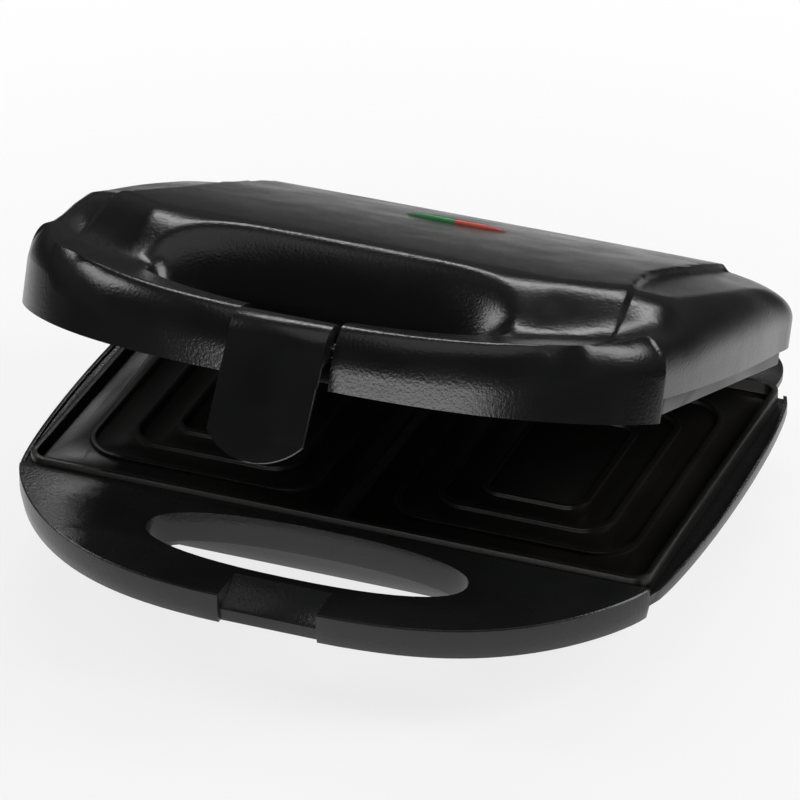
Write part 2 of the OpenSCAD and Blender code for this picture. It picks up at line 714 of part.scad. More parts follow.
// rounding of the outer edge, height of the wall below it, rounding at the opening
function edge_roll(t) = lookup(t, [[0, 12], [0.17, 12], [0.22, 8], [0.25, 4], [0.3, 6], [0.35, 8], [0.45, 9],
    [0.48, 17], [0.51, 24], [0.62, 26], [0.72, 20], [0.82, 9], [1, 8]]);
function wall_top(t) = lookup(t, [[0, 5], [0.17, 6], [0.22, 9], [0.25, 14], [0.35, 15], [0.45, 12],
    [0.48, 13], [0.51, 16], [0.62, 16], [0.72, 18], [0.82, 22], [1, 22]]);
// share of a straight slope in the edge rounding, which leaves a crisp line at the corners
function edge_slope(t) = lookup(t, [[0.2, 0], [0.25, 0.5], [0.42, 0.45], [0.46, 0]]);
function slot_roll(t) = lookup(t, [[0, 8], [0.3, 9], [0.42, 11], [0.5, 13], [1, 13]]);
slot_wall_top = 8;
function quarter(u) = let (c = 1 - clamp01(u)) sqrt(1 - c * c);
function ray_len(t) = norm(lid_edge(t) - slot_edge(t));
function roll_fit(t) = min(1, (ray_len(t) - 0.5) / (edge_roll(t) + slot_roll(t)));
function ray_xy(t, g) = slot_edge(t) + (lid_edge(t) - slot_edge(t)) * g / ray_len(t);
// height of the shell at distance g from the opening, inset by w
function shell_z(t, g, w) = let (re = roll_fit(t) * edge_roll(t), rg = roll_fit(t) * slot_roll(t),
        q = ray_xy(t, g), e = ray_len(t) - g, z = lid_top(q[0], q[1]) - w,
        u = clamp01((e - w) / (re - w)),
        zo = e < re ? lerp(wall_top(t), z, lerp(quarter(u), u, edge_slope(t))) : z)
    g < rg ? lerp(slot_wall_top, zo, quarter((g - w) / (rg - w))) : zo;
function ray_point(t, g, z) = concat(ray_xy(t, g), [z]);
function skirt_z(t) = t < t_corner ? -skirt_front_drop : skirt_side_z;
// distances along the ray: n_in steps round the opening, n_mid across, n_out round the edge
function ray_steps(t, w, n_in, n_mid, n_out) = let (l = ray_len(t), re = roll_fit(t) * edge_roll(t),
        rg = roll_fit(t) * slot_roll(t))
    concat([for (i = [0:n_in]) w + (rg - w) * (1 - cos(90 * i / n_in))],
        [for (i = [1:n_mid - 1]) lerp(rg, l - re, i / n_mid)],
        [for (i = [n_out:-1:0]) l - w - (re - w) * (1 - cos(90 * i / n_out))]);
function skin(t, w, n_in, n_mid, n_out) = concat([ray_point(t, w, -skirt_front_drop)],
    [for (g = ray_steps(t, w, n_in, n_mid, n_out)) ray_point(t, g, shell_z(t, g, w))],
    [ray_point(t, ray_len(t) - w, skirt_z(t))]);
function reversed(v) = [for (i = [len(v) - 1:-1:0]) v[i]];
function lid_section(t) = concat(skin(t, 0, 6, 8, 7), reversed(skin(t, lid_wall, 3, 8, 4)));
front_stations = 20;
rear_stations = 16;
side_stations = 4;
// the skirt steps up between two stations this far to each side of the corner
t_step = 0.0005;
lid_half = concat([for (i = [0:front_stations]) lid_section((t_corner - t_step) * i / front_stations)],
    [for (i = [0:side_stations]) lid_section(lerp(t_corner + t_step, t_rear, i / side_stations))],
    [for (i = [1:rear_stations]) lid_section(lerp(t_rear, 1, i / rear_stations))]);
lid_rings = concat(lid_half,
    [for (i = [len(lid_half) - 2:-1:1]) [for (p = lid_half[i]) [-p[0], p[1], p[2]]]]);
module lid_shell() {
    m = len(lid_rings);
    n = len(lid_rings[0]);
    polyhedron(points = [for (r = lid_rings) for (p = r) p],
        faces = [for (k = [0:m - 1]) for (i = [0:n - 1]) let (a = k * n + i, b = (k + 1) % m * n + i,
                c = (k + 1) % m * n + (i + 1) % n, d = k * n + (i + 1) % n)
            each [[a, b, c], [a, c, d]]]);
}
// posts that carry the upper plate: two screwed at its lugs, two plain at its front
post_r = 4;
front_post_r = 3.5;
front_post = [72, 5];
module lid_posts() {
    at_lugs() translate([0, 0, plate_back_z])
        cylinder(h = dome_top(lug_y) - lid_wall / 2 - plate_back_z, r = post_r);
    for (sx = [-1, 1]) translate([sx * front_post[0], front_post[1], plate_back_z])
        cylinder(h = lid_top(front_post[0], front_post[1] - front_post_r) - lid_wall / 2 - plate_back_z,
            r = front_post_r);
}
// arms that reach back from the rear wall to the hinge pins
arm_r = 6.2;
arm_root_y = rear_corner_y + rear_run - 7;
arm_web_half_h = arm_r - 0.2;
module hinge_arms() {
    for (sx = [-1, 1]) translate([sx * hinge_x - arm_w / 2, 0, 0]) {
        translate([0, hinge_y, hinge_z]) rotate([0, 90, 0]) cylinder(h = arm_w, r = arm_r);
        translate([0, arm_root_y, hinge_z - arm_web_half_h])
            cube([arm_w, hinge_y - arm_root_y, 2 * arm_web_half_h]);
        translate([0, hinge_y, hinge_z - heel_t / 2]) cube([arm_w, heel_r, heel_t]);
    }
}
notch_back_y = grip_y - grip_half_w - lid_wall - 0.6;
lens_half_l = 19.6;
lens_half_w = 2.6;
lens_y = 109;
lens_proud = 0.8;
lens_depth = 3.2;
lens_tilt = atan(2 * dome_fall * lens_y / (dome_run * dome_run));
module lens_frame() {
    lid_frame() translate([0, lens_y, dome_top(lens_y)]) rotate([-lens_tilt, 0, 0]) children();
}
// pointed oval between two arcs
lens_arc_r = (lens_half_l * lens_half_l + lens_half_w * lens_half_w) / (2 * lens_half_w);
module pointed_oval(grow) {
    intersection_for (s = [-1, 1]) translate([0, s * (lens_arc_r - lens_half_w)])
        circle(lens_arc_r + grow, $fn = 180);
}
module lid_housing() {
    color(black) difference() {
        lid_frame() difference() {
            union() {
                lid_shell();
                lid_posts();
                hinge_arms();
            }
            translate([-latch_notch_half, corner_y - lid_moon_d - over, -skirt_front_drop - over])
                cube([2 * latch_notch_half, notch_back_y - corner_y + lid_moon_d + over, dome_h]);
            at_lugs() translate([0, 0, plate_back_z - over])
                cylinder(h = lug_screw_l + over, r = screw_hole_r);
            for (sx = [-1, 1]) translate([sx * hinge_x - arm_w, hinge_y, hinge_z]) rotate([0, 90, 0])
                cylinder(h = 2 * arm_w, r = pin_r + pin_clear);
        }
        lens_frame() translate([0, 0, -lens_depth - over])
            linear_extrude(lens_depth + 3 * over) pointed_oval(seat);
    }
}
module upper_plate() { color(coating) lid_frame() plate_casting(); }
module upper_heating_element() { color(steel) lid_frame() element_tube(); }
module upper_reflector() { color(aluminium) lid_frame() reflector_tray(); }
module upper_reflector_screws() { color(steel) lid_frame() tray_screws(); }
module upper_thermostat() { color("#d9d2c3") lid_frame() thermostat_body(); }
module upper_plate_screws() { color(steel) lid_frame() lug_screws(); }
// half the joint between the two lenses
lens_split = 0.05;
module lens_half(side) {
    lens_frame() translate([0, 0, -lens_depth]) linear_extrude(lens_depth + lens_proud) intersection() {
        pointed_oval(0);
        translate([side > 0 ? lens_split : -lens_half_l - lens_split, -lens_half_w])
            square([lens_half_l, 2 * lens_half_w]);
    }
}
module green_lens() { color("#2f7d3a") lens_half(-1); }
module red_lens() { color("#b3372c") lens_half(1); }
// holder under the lenses with a lamp behind each
holder_h = 9;
holder_w = 10;
holder_end = 2;
lamp_r = 2.5;
lamp_l = 13;
lamp_x = 9.5;
lamp_drop = lens_depth + 4.2;
module lamp_holder() {
    color("#e9e6df") lens_frame() difference() {
        translate([-lens_half_l - holder_end, -holder_w / 2, -lens_depth - holder_h])
            cube([2 * (lens_half_l + holder_end), holder_w, holder_h]);
        translate([-lens_half_l - holder_end - over, 0, -lamp_drop]) rotate([0, 90, 0])
            cylinder(h = 2 * (lens_half_l + holder_end + over), r = lamp_r + seat);
    }
}
module neon_lamps() {
    color("#e8b58a") lens_frame() for (sx = [-1, 1]) translate([sx * lamp_x - lamp_l / 2, 0, -lamp_drop])
        rotate([0, 90, 0]) cylinder(h = lamp_l, r = lamp_r);
}

// ---- latch ----
latch_bore_r = latch_pin_r + 0.08;
// carrier inside the bar: two cheeks beside the notch and a tie behind it
cheek_t = 2.2;
tie_top_z = 3.5;
carrier_back_y = notch_back_y + 0.4;
// outline of a cheek, measured from the pin
cheek_nose = 4.2;
cheek_front_y = latch_y - cheek_nose;
cheek_nose_z = 4.8;
cheek_rise = 5.2;
cheek_top_z = latch_z + cheek_rise;
cheek_lean = 1;
cheek_bevel = 2.2;
cheek_crown = 2.8;
cheek_heel = 5.6;
cheek_heel_bevel = 1.8;
module cheek_outline() {
    polygon([[cheek_front_y, -skirt_front_drop],
        [cheek_front_y, cheek_nose_z],
        [cheek_front_y + cheek_lean, cheek_top_z - 3 * cheek_bevel],
        [cheek_front_y + cheek_lean + cheek_bevel, cheek_top_z - cheek_bevel],
        [cheek_front_y + cheek_lean + cheek_bevel + cheek_crown, cheek_top_z],
        [latch_y + cheek_heel, cheek_top_z],
        [latch_y + cheek_heel + cheek_heel_bevel, cheek_top_z - cheek_heel_bevel],
        [carrier_back_y, latch_z],
        [carrier_back_y, -skirt_front_drop]]);
}
module latch_bracket() {
    color(black) lid_frame() difference() {
        union() {
            for (sx = [-1, 1]) translate([sx * (latch_notch_half + cheek_t / 2), 0, 0]) along_x(cheek_t)
                cheek_outline();
            along_x(2 * latch_notch_half + over) polygon([[carrier_back_y - cheek_t, -skirt_front_drop],
                [carrier_back_y - cheek_t, tie_top_z], [carrier_back_y, tie_top_z],
                [carrier_back_y, -skirt_front_drop]]);
        }
        translate([0, latch_y, latch_z]) rotate([0, 90, 0])
            cylinder(h = 3 * latch_w, r = latch_bore_r, center = true);
    }
}
module latch_pin() {
    color(steel) lid_frame() translate([0, latch_y, latch_z]) rotate([0, 90, 0])
        cylinder(h = 2 * (latch_notch_half + cheek_t), r = latch_pin_r, center = true);
}
// clip: rounded head, straight leg, flared lip; drawn shut, pivot at the origin
head_r = 9.5;
head_y = head_r - latch_reach;
head_z = -1.6;
head_end_y = 0.3;
arc_steps = 10;
module clip_profile() {
    lip = [-latch_lip_l * sin(latch_flare), -latch_lip_l * cos(latch_flare)];
    across = [cos(latch_flare) * latch_t, -sin(latch_flare) * latch_t];
    foot = [-latch_reach, -latch_l];
    inner_r = head_r - latch_t;
    polygon(concat([[head_end_y, head_z + head_r]],
        [for (i = [0:arc_steps]) let (a = 90 + 90 * i / arc_steps)
            [head_y + head_r * cos(a), head_z + head_r * sin(a)]],
        [foot, foot + lip, foot + lip + across, [latch_t - latch_reach, -latch_l + 0.2]],
        [for (i = [arc_steps:-1:0]) let (a = 90 + 90 * i / arc_steps)
            [head_y + inner_r * cos(a), head_z + inner_r * sin(a)]],
        [[head_end_y, head_z + inner_r]]));
}
lobe_r = (latch_w * latch_w / 4 + latch_lip_l * latch_lip_l) / (2 * latch_lip_l);
module clip_front() {
    translate([-latch_w / 2, -latch_l]) square([latch_w, latch_l + 2 * head_r]);
    intersection() {
        translate([0, lobe_r - latch_l - latch_lip_l]) circle(lobe_r, $fn = 120);
        translate([-latch_w / 2, -latch_l - 2 * head_r]) square([latch_w, 2 * head_r]);
    }
}
clip_cheek_t = 2.2;
pin_boss_r = 3.6;
module clip_cheek() {
    circle(pin_boss_r);
    polygon([[head_end_y, 7], [-3.1, 7], [-8, 4.8], [-11.3, 0.4], [-11.3, -9], [-2.4, -2.7], [2.7, -2.4]]);
}
// hook under the base lip
hook_w = 22;
hook_t = 3;
hook_top_z = handle_bottom_z - 1 - latch_z;
hook_tip_y = lip_y + 2.5 - latch_y;
module latch_clip() {
    color(black) latch_frame() difference() {
        union() {
            intersection() {
                along_x(latch_w) clip_profile();
                translate([0, head_r, 0]) rotate([90, 0, 0]) linear_extrude(4 * head_r) clip_front();
            }
            for (sx = [-1, 1]) translate([sx * (latch_w - clip_cheek_t) / 2, 0, 0])
                along_x(clip_cheek_t) clip_cheek();
            translate([-hook_w / 2, latch_t / 2 - latch_reach, hook_top_z - hook_t])
                cube([hook_w, hook_tip_y + latch_reach - latch_t / 2, hook_t]);
        }
        rotate([0, 90, 0]) cylinder(h = 2 * latch_w, r = latch_bore_r, center = true);
    }
}

base_frame();
base_tub();
base_screws();
lower_plate();
lower_heating_element();
lower_reflector();
lower_reflector_screws();
lower_thermostat();
thermal_fuse();
lower_plate_screws();
terminal_block();
cord_gland();
rubber_feet();
hinge_pins();
lid_housing();
upper_plate();
upper_heating_element();
upper_reflector();
upper_reflector_screws();
upper_thermostat();
upper_plate_screws();
green_lens();
red_lens();
lamp_holder();
neon_lamps();
latch_bracket();
latch_pin();
latch_clip();
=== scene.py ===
"""Looks of a two-slice sandwich toaster with a half open lid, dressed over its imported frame."""

import logging
import math
from collections.abc import Iterable, Iterator, Mapping, Sequence
from contextlib import contextmanager
from dataclasses import dataclass
from enum import Enum
from itertools import product

import bmesh
import bpy
import numpy as np
from mathutils import Matrix, Vector


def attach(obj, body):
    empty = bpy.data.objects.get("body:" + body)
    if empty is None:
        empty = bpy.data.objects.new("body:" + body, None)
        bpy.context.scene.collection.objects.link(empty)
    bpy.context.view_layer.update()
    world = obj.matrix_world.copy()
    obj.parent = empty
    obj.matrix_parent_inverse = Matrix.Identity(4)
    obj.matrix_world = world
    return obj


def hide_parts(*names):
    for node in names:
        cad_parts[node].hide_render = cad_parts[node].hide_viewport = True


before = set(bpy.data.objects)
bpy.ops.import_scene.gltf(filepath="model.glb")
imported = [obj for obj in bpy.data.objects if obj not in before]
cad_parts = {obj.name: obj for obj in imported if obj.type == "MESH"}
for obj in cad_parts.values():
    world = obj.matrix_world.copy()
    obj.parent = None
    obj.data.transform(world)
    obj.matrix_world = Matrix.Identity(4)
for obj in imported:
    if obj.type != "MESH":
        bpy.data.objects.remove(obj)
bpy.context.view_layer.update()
log = logging.getLogger("toaster")

MM = 0.001
# The plates' front edge in the row frame, and the parting plane above the table.
PLATE_FRONT_Y = -55.6985
PARTING_Z = 40.0
# x and y of the lugs at the rear of both plates, millimetres from the plates' front edge.
LUG_AT = (50.0, 152.0)

Triple = tuple[float, float, float]
Table = tuple[tuple[float, ...], tuple[float, ...]]
Piece = bpy.types.Object
Socket = bpy.types.NodeSocket


class Body(Enum):
    """Moving groups of the toaster."""

    BASE = "base"
    LID = "lid"
    LATCH = "latch"


# ---------------------------------------------------------------- nodes


class Wiring:
    """Adds nodes to one tree and links them."""

    def __init__(self, tree: bpy.types.NodeTree) -> None:
        """Keeps the tree."""
        self.tree = tree

    def add(self, kind: str, inputs: Mapping[str | int, object] | None = None,
            **settings: object) -> bpy.types.Node:
        """Adds a node.

        Args:
            kind: Node type.
            inputs: What its inputs get, as in feed.
            settings: Properties of the node, set before its inputs.

        Returns:
            The node.
        """
        node = self.tree.nodes.new(kind)
        for name, value in settings.items():
            setattr(node, name, value)
        self.feed(node, inputs or {})
        return node

    def feed(self, node: bpy.types.Node, inputs: Mapping[str | int, object]) -> None:
        """Links or sets inputs of a node.

        Args:
            node: A node of the tree.
            inputs: A socket to link or a value to set, by the input's name or number.
        """
        for key, value in inputs.items():
            if isinstance(value, Socket):
                self.tree.links.new(value, node.inputs[key])
            else:
                node.inputs[key].default_value = value

    def math(self, operation: str, *terms: object) -> Socket:
        """Adds a Math node whose terms are sockets or numbers, and gives its output."""
        return self.add("ShaderNodeMath", dict(enumerate(terms)), operation=operation).outputs[0]


class GroupMaker:
    """Builds shader node groups that several finishes share."""

    GRAIN_ROUGHNESS = 0.55
    # Turn of the hairlines, and how far they are drawn out along each axis.
    HAIRLINE_TURN = (0.4, 0.3, 0.6)
    HAIRLINE_STRETCH = (1.0, 0.06, 0.5)
    # Noise values between which a hairline comes in.
    HAIRLINE_BAND = (0.62, 0.72)

    @staticmethod
    def _new(name: str, inputs: Mapping[str, float],
             outputs: Sequence[str]) -> tuple[Wiring, bpy.types.NodeOutputs]:
        """Makes an empty group.

        Args:
            name: Group name.
            inputs: Default value of each input.
            outputs: Names of the outputs.

        Returns:
            The group's wiring and the sockets that bring in its inputs.
        """
        tree = bpy.data.node_groups.new(name, "ShaderNodeTree")
        for socket, value in inputs.items():
            tree.interface.new_socket(name=socket, in_out="INPUT",
                                      socket_type="NodeSocketFloat").default_value = value
        for socket in outputs:
            tree.interface.new_socket(name=socket, in_out="OUTPUT", socket_type="NodeSocketFloat")
        wires = Wiring(tree)
        return wires, wires.add("NodeGroupInput").outputs

    @classmethod
    def grain(cls) -> bpy.types.NodeTree:
        """Orange-peel grain of moulded plastic.

        Returns:
            A group with inputs Cell and Blotch in metres and outputs Height and Tone, about 0 to 1.
        """
        name = "moulded_grain"
        if name in bpy.data.node_groups:
            return bpy.data.node_groups[name]
        wires, given = cls._new(name, {"Cell": 0.0007, "Blotch": 0.02}, ("Height", "Tone"))
        coord = wires.add("ShaderNodeTexCoord").outputs["Object"]
        outputs = {}
        for size, output, detail in (("Cell", "Height", 2.0), ("Blotch", "Tone", 1.0)):
            noise = wires.add("ShaderNodeTexNoise", {
                "Vector": coord, "Scale": wires.math("DIVIDE", 1.0, given[size]), "Detail": detail,
                "Roughness": cls.GRAIN_ROUGHNESS})
            outputs[output] = noise.outputs["Fac"]
        wires.add("NodeGroupOutput", outputs)
        return wires.tree

    @classmethod
    def scuffs(cls) -> bpy.types.NodeTree:
        """Fine hairline scuffs left by wiping.

        Returns:
            A group with input Spacing in metres and output Mask, 0 to 1.
        """
        name = "wiping_scuffs"
        if name in bpy.data.node_groups:
            return bpy.data.node_groups[name]
        wires, given = cls._new(name, {"Spacing": 0.004}, ("Mask",))
        coord = wires.add("ShaderNodeTexCoord").outputs["Object"]
        turned = wires.add("ShaderNodeMapping", {
            "Vector": coord, "Rotation": cls.HAIRLINE_TURN, "Scale": cls.HAIRLINE_STRETCH})
        noise = wires.add("ShaderNodeTexNoise", {
            "Vector": turned.outputs["Vector"], "Detail": 3.0,
            "Scale": wires.math("DIVIDE", 1.0, given["Spacing"])})
        start, full = cls.HAIRLINE_BAND
        mask = wires.add("ShaderNodeMapRange", {
            "Value": noise.outputs["Fac"], "From Min": start, "From Max": full})
        wires.add("NodeGroupOutput", {"Mask": mask.outputs["Result"]})
        return wires.tree


# ---------------------------------------------------------------- finishes


@dataclass(frozen=True)
class Finish:
    """A surface finish with grain, tone variation and scuffs.

    Attributes:
        name: Material name.
        dark: Base colour in the darkest patches.
        light: Base colour in the lightest patches.
        rough_low: Lowest roughness.
        rough_high: Highest roughness.
        metallic: Metallic value.
        specular: Specular IOR level.
        cell: Size of the fine grain in metres.
        blotch: Size of the broad variation in metres.
        bump: Depth of the fine grain in metres.
        scuff: How much scuffs add to the roughness.
        transmission: Transmission weight.
        painted_glow: Emission strength in the base colour, a painted glow that lights a part which
            is no lamp.
        tone_band: Values of the broad variation that give the lowest and highest roughness.
    """

    name: str
    dark: Triple
    light: Triple
    rough_low: float
    rough_high: float
    metallic: float = 0.0
    specular: float = 0.5
    cell: float = 0.0007
    blotch: float = 0.02
    bump: float = 0.00004
    scuff: float = 0.08
    transmission: float = 0.0
    painted_glow: float = 0.0
    tone_band: tuple[float, float] = (0.3, 0.7)

    def material(self) -> bpy.types.Material:
        """Builds the material once.

        Returns:
            The material.
        """
        if self.name in bpy.data.materials:
            return bpy.data.materials[self.name]
        mat = bpy.data.materials.new(self.name)
        mat.use_nodes = True
        wires = Wiring(mat.node_tree)
        grain = wires.add("ShaderNodeGroup", {"Cell": self.cell, "Blotch": self.blotch},
                          node_tree=GroupMaker.grain()).outputs
        scuffs = wires.add("ShaderNodeGroup", node_tree=GroupMaker.scuffs()).outputs
        tone = wires.add("ShaderNodeMix", {
            "Factor": grain["Tone"], "A": (*self.dark, 1.0), "B": (*self.light, 1.0)},
            data_type="RGBA").outputs["Result"]
        rough = wires.add("ShaderNodeMapRange", {
            "Value": grain["Tone"], "From Min": self.tone_band[0], "From Max": self.tone_band[1],
            "To Min": self.rough_low, "To Max": self.rough_high}).outputs["Result"]
        bump = wires.add("ShaderNodeBump", {
            "Strength": 1.0, "Distance": self.bump, "Height": grain["Height"]}).outputs["Normal"]
        shader = mat.node_tree.nodes["Principled BSDF"]
        wires.feed(shader, {
            "Base Color": tone, "Normal": bump, "Metallic": self.metallic,
            "Roughness": wires.math("MULTIPLY_ADD", scuffs["Mask"], self.scuff, rough),
            "Specular IOR Level": self.specular, "Transmission Weight": self.transmission})
        # Painted glow: emission in the finish's own colour brightens the part, though nothing
        # behind it gives light.
        if self.painted_glow > 0.0:
            wires.feed(shader, {"Emission Color": tone, "Emission Strength": self.painted_glow})
        return mat


SHELL = Finish("black_moulding", (0.0050, 0.0052, 0.0051), (0.0078, 0.0081, 0.0080), 0.20, 0.26,
               cell=0.0011, bump=0.00009, scuff=0.012)
# Base deck moulding: its stronger grain is real, but its base colour, about twice the shell's, is
# painted light that brightens the handle top.
DECK_PAINTED_LIGHT = Finish("grained_moulding_painted_light", (0.0095, 0.0099, 0.0097), (0.0145, 0.0150, 0.0148), 0.24, 0.30,
              cell=0.0011, bump=0.00012, scuff=0.012)
COATING = Finish("nonstick_coating", (0.007, 0.0062, 0.0058), (0.011, 0.0098, 0.009), 0.32, 0.42,
                 specular=0.4, cell=0.0005, blotch=0.03, bump=0.00003)
STEEL = Finish("bright_steel", (0.52, 0.52, 0.54), (0.66, 0.66, 0.68), 0.22, 0.34, metallic=1.0,
               cell=0.0004, blotch=0.01, bump=0.00001)
HEATED_STEEL = Finish("heated_steel", (0.20, 0.17, 0.15), (0.42, 0.38, 0.34), 0.34, 0.5,
                      metallic=1.0, cell=0.0006, blotch=0.012, bump=0.00002)
SHEET_METAL = Finish("rolled_aluminium", (0.70, 0.71, 0.73), (0.82, 0.82, 0.84), 0.28, 0.42,
                     metallic=1.0, cell=0.0005, blotch=0.05, bump=0.00001)
CERAMIC = Finish("fired_ceramic", (0.66, 0.62, 0.54), (0.76, 0.73, 0.66), 0.5, 0.7, cell=0.0005,
                 blotch=0.006)
RUBBER = Finish("foot_rubber", (0.016, 0.016, 0.017), (0.03, 0.03, 0.032), 0.62, 0.8,
                specular=0.35, cell=0.0006, blotch=0.008, bump=0.00005)
# Lens plastics with a painted glow that brightens them; the neon lamps behind them give no light.
GREEN_LENS_PAINTED_GLOW = Finish("green_lens_painted_glow", (0.03, 0.17, 0.06), (0.05, 0.22, 0.08), 0.2, 0.28,
               cell=0.0008, blotch=0.01, bump=0.00001, scuff=0.03, painted_glow=0.15)
RED_LENS_PAINTED_GLOW = Finish("red_lens_painted_glow", (0.34, 0.05, 0.035), (0.44, 0.08, 0.05), 0.2, 0.28,
             cell=0.0008, blotch=0.01, bump=0.00001, scuff=0.03, painted_glow=0.15)
BULB = Finish("bulb_glass", (0.80, 0.45, 0.28), (0.9, 0.6, 0.4), 0.1, 0.2, cell=0.001,
              blotch=0.004, bump=0.000005, transmission=0.6)


# ---------------------------------------------------------------- mesh tools


class Axis(Enum):
    """Directions that a rod can take."""

    X = "x"
    Z = "z"


class Operation(Enum):
    """Ways to combine two meshes."""

    UNION = "UNION"
    DIFFERENCE = "DIFFERENCE"


def ease(value: float) -> float:
    """Smooth step from 0 to 1."""
    value = min(max(value, 0.0), 1.0)
    return value * value * (3 - 2 * value)


def add_object(name: str, data: bpy.types.ID) -> Piece:
    """Makes an object in the scene.

    Args:
        name: Object name.
        data: Its mesh, light or camera.

    Returns:
        The object.
    """
    obj = bpy.data.objects.new(name, data)
    bpy.context.scene.collection.objects.link(obj)
    return obj


@contextmanager
def editing(mesh: bpy.types.Mesh) -> Iterator[bmesh.types.BMesh]:
    """Opens a mesh for editing and writes it back.

    Args:
        mesh: The mesh.

    Yields:
        Its editable form.
    """
    bm = bmesh.new()
    bm.from_mesh(mesh)
    yield bm
    bm.to_mesh(mesh)
    bm.free()


class MeshTools:
    """Small helpers that turn points into finished pieces."""

    # Distance in metres within which corners join, and angle in degrees within which faces do.
    WELD = 2e-6
    FLAT = 0.6
    ROUNDING_SEGMENTS = 2
    ROD_SIDES = 64
    BLOCK_FACES = ((0, 1, 3, 2), (4, 6, 7, 5), (0, 4, 5, 1), (2, 3, 7, 6), (0, 2, 6, 4),
                   (1, 5, 7, 3))

    @staticmethod
    def paint(mesh: bpy.types.Mesh, finish: Finish) -> None:
        """Gives a whole mesh one finish.

        Args:
            mesh: The mesh.
            finish: Its finish.
        """
        mesh.materials.clear()
        mesh.materials.append(finish.material())
        for poly in mesh.polygons:
            poly.material_index = 0

    @classmethod
    def from_faces(cls, name: str, points: Iterable[Sequence[float]],
                   faces: Iterable[Sequence[int]], finish: Finish) -> Piece:
        """Makes a mesh object at the origin.

        Args:
            name: Piece name.
            points: Vertices in metres, row frame.
            faces: Vertex indices of each face.
            finish: Surface finish.

        Returns:
            The new object.
        """
        mesh = bpy.data.meshes.new(name)
        mesh.from_pydata([tuple(p) for p in points], [], [tuple(f) for f in faces])
        cls.paint(mesh, finish)
        return add_object(name, mesh)

    @staticmethod
    def tube_faces(rings: int, count: int, loop: bool = False) -> list[tuple[int, ...]]:
        """Faces that join rings of points.

        Args:
            rings: Number of rings.
            count: Points in each ring.
            loop: True to join the last ring to the first, False to close both ends.

        Returns:
            Vertex indices of each face.
        """
        spans = rings if loop else rings - 1
        faces = []
        for k in range(spans):
            here, there = k * count, (k + 1) % rings * count
            for i in range(count):
                after = (i + 1) % count
                faces.append((here + i, here + after, there + after, there + i))
        if not loop:
            faces += [tuple(range(count - 1, -1, -1)), tuple(range(spans * count, rings * count))]
        return faces

    @staticmethod
    def shade(obj: Piece, angle: float = 40.0) -> None:
        """Smooth shading with edges sharper than an angle kept sharp.

        Args:
            obj: A mesh object.
            angle: Limit in degrees.
        """
        limit = math.radians(angle)
        with editing(obj.data) as bm:
            for face in bm.faces:
                face.smooth = True
            for edge in bm.edges:
                edge.smooth = len(edge.link_faces) == 2 and edge.calc_face_angle() < limit

    @staticmethod
    def bake(obj: Piece) -> None:
        """Applies an object's modifiers to its own mesh.

        Args:
            obj: A mesh object with live modifiers.
        """
        graph = bpy.context.evaluated_depsgraph_get()
        mesh = bpy.data.meshes.new_from_object(obj.evaluated_get(graph))
        obj.modifiers.clear()
        old = obj.data
        obj.data = mesh
        mesh.name = old.name
        bpy.data.meshes.remove(old)

    @classmethod
    def combine(cls, obj: Piece, other: Piece, operation: Operation) -> None:
        """Joins or cuts one mesh with another and removes the other.

        Args:
            obj: The mesh that stays.
            other: The mesh that is used up.
            operation: How they combine.
        """
        mod = obj.modifiers.new("combine", "BOOLEAN")
        mod.operation = operation.value
        mod.solver = "EXACT"
        mod.object = other
        cls.bake(obj)
        mesh = other.data
        bpy.data.objects.remove(other)
        bpy.data.meshes.remove(mesh)

    @classmethod
    def block(cls, low: Triple, high: Triple) -> Piece:
        """A block between two corners, drawn in millimetres on the shut lid."""
        corners = np.array(list(product(*zip(low, high))))
        return cls.from_faces("block", Place.lid(corners), cls.BLOCK_FACES, SHELL)

    @classmethod
    def rod(cls, start: Triple, axis: Axis, length: float, radius: float) -> Piece:
        """A round rod, drawn in millimetres on the shut lid.

        Args:
            start: Middle of its first end.
            axis: Direction it runs in.
            length: Length.
            radius: Radius.

        Returns:
            The rod.
        """
        turn = 2 * np.pi * np.arange(cls.ROD_SIDES) / cls.ROD_SIDES
        u, v = radius * np.cos(turn), radius * np.sin(turn)
        ends = []
        for along in (0.0, length):
            w = np.full(cls.ROD_SIDES, along)
            ring = (u, v, w) if axis is Axis.Z else (w, u, v)
            ends.append(np.stack(ring, axis=1) + np.array(start, dtype=float))
        faces = cls.tube_faces(2, cls.ROD_SIDES)
        return cls.from_faces("rod", Place.lid(np.concatenate(ends)), faces, SHELL)

    @classmethod
    def softened(cls, node: str, name: str, finish: Finish, width: float, body: Body,
                 limit: float = 28.0) -> Piece:
        """A copy of a solid with its edges rounded as a moulding or casting has them.

        Args:
            node: The solid's node.
            name: Piece name.
            finish: Surface finish.
            width: Edge rounding in millimetres.
            body: Body it rides on.
            limit: Smallest edge angle that is rounded, in degrees.

        Returns:
            The piece, which replaces the node.
        """
        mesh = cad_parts[node].data.copy()
        mesh.name = name
        with editing(mesh) as bm:
            bmesh.ops.remove_doubles(bm, verts=bm.verts, dist=cls.WELD)
            bmesh.ops.dissolve_limit(bm, angle_limit=math.radians(cls.FLAT), verts=bm.verts,
                                     edges=bm.edges)
        cls.paint(mesh, finish)
        obj = add_object(name, mesh)
        mod = obj.modifiers.new("rounding", "BEVEL")
        mod.width = width * MM
        mod.segments = cls.ROUNDING_SEGMENTS
        mod.limit_method = "ANGLE"
        mod.angle_limit = math.radians(limit)
        mod.use_clamp_overlap = True
        cls.bake(obj)
        cls.shade(obj)
        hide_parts(node)
        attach(obj, body.value)
        return obj


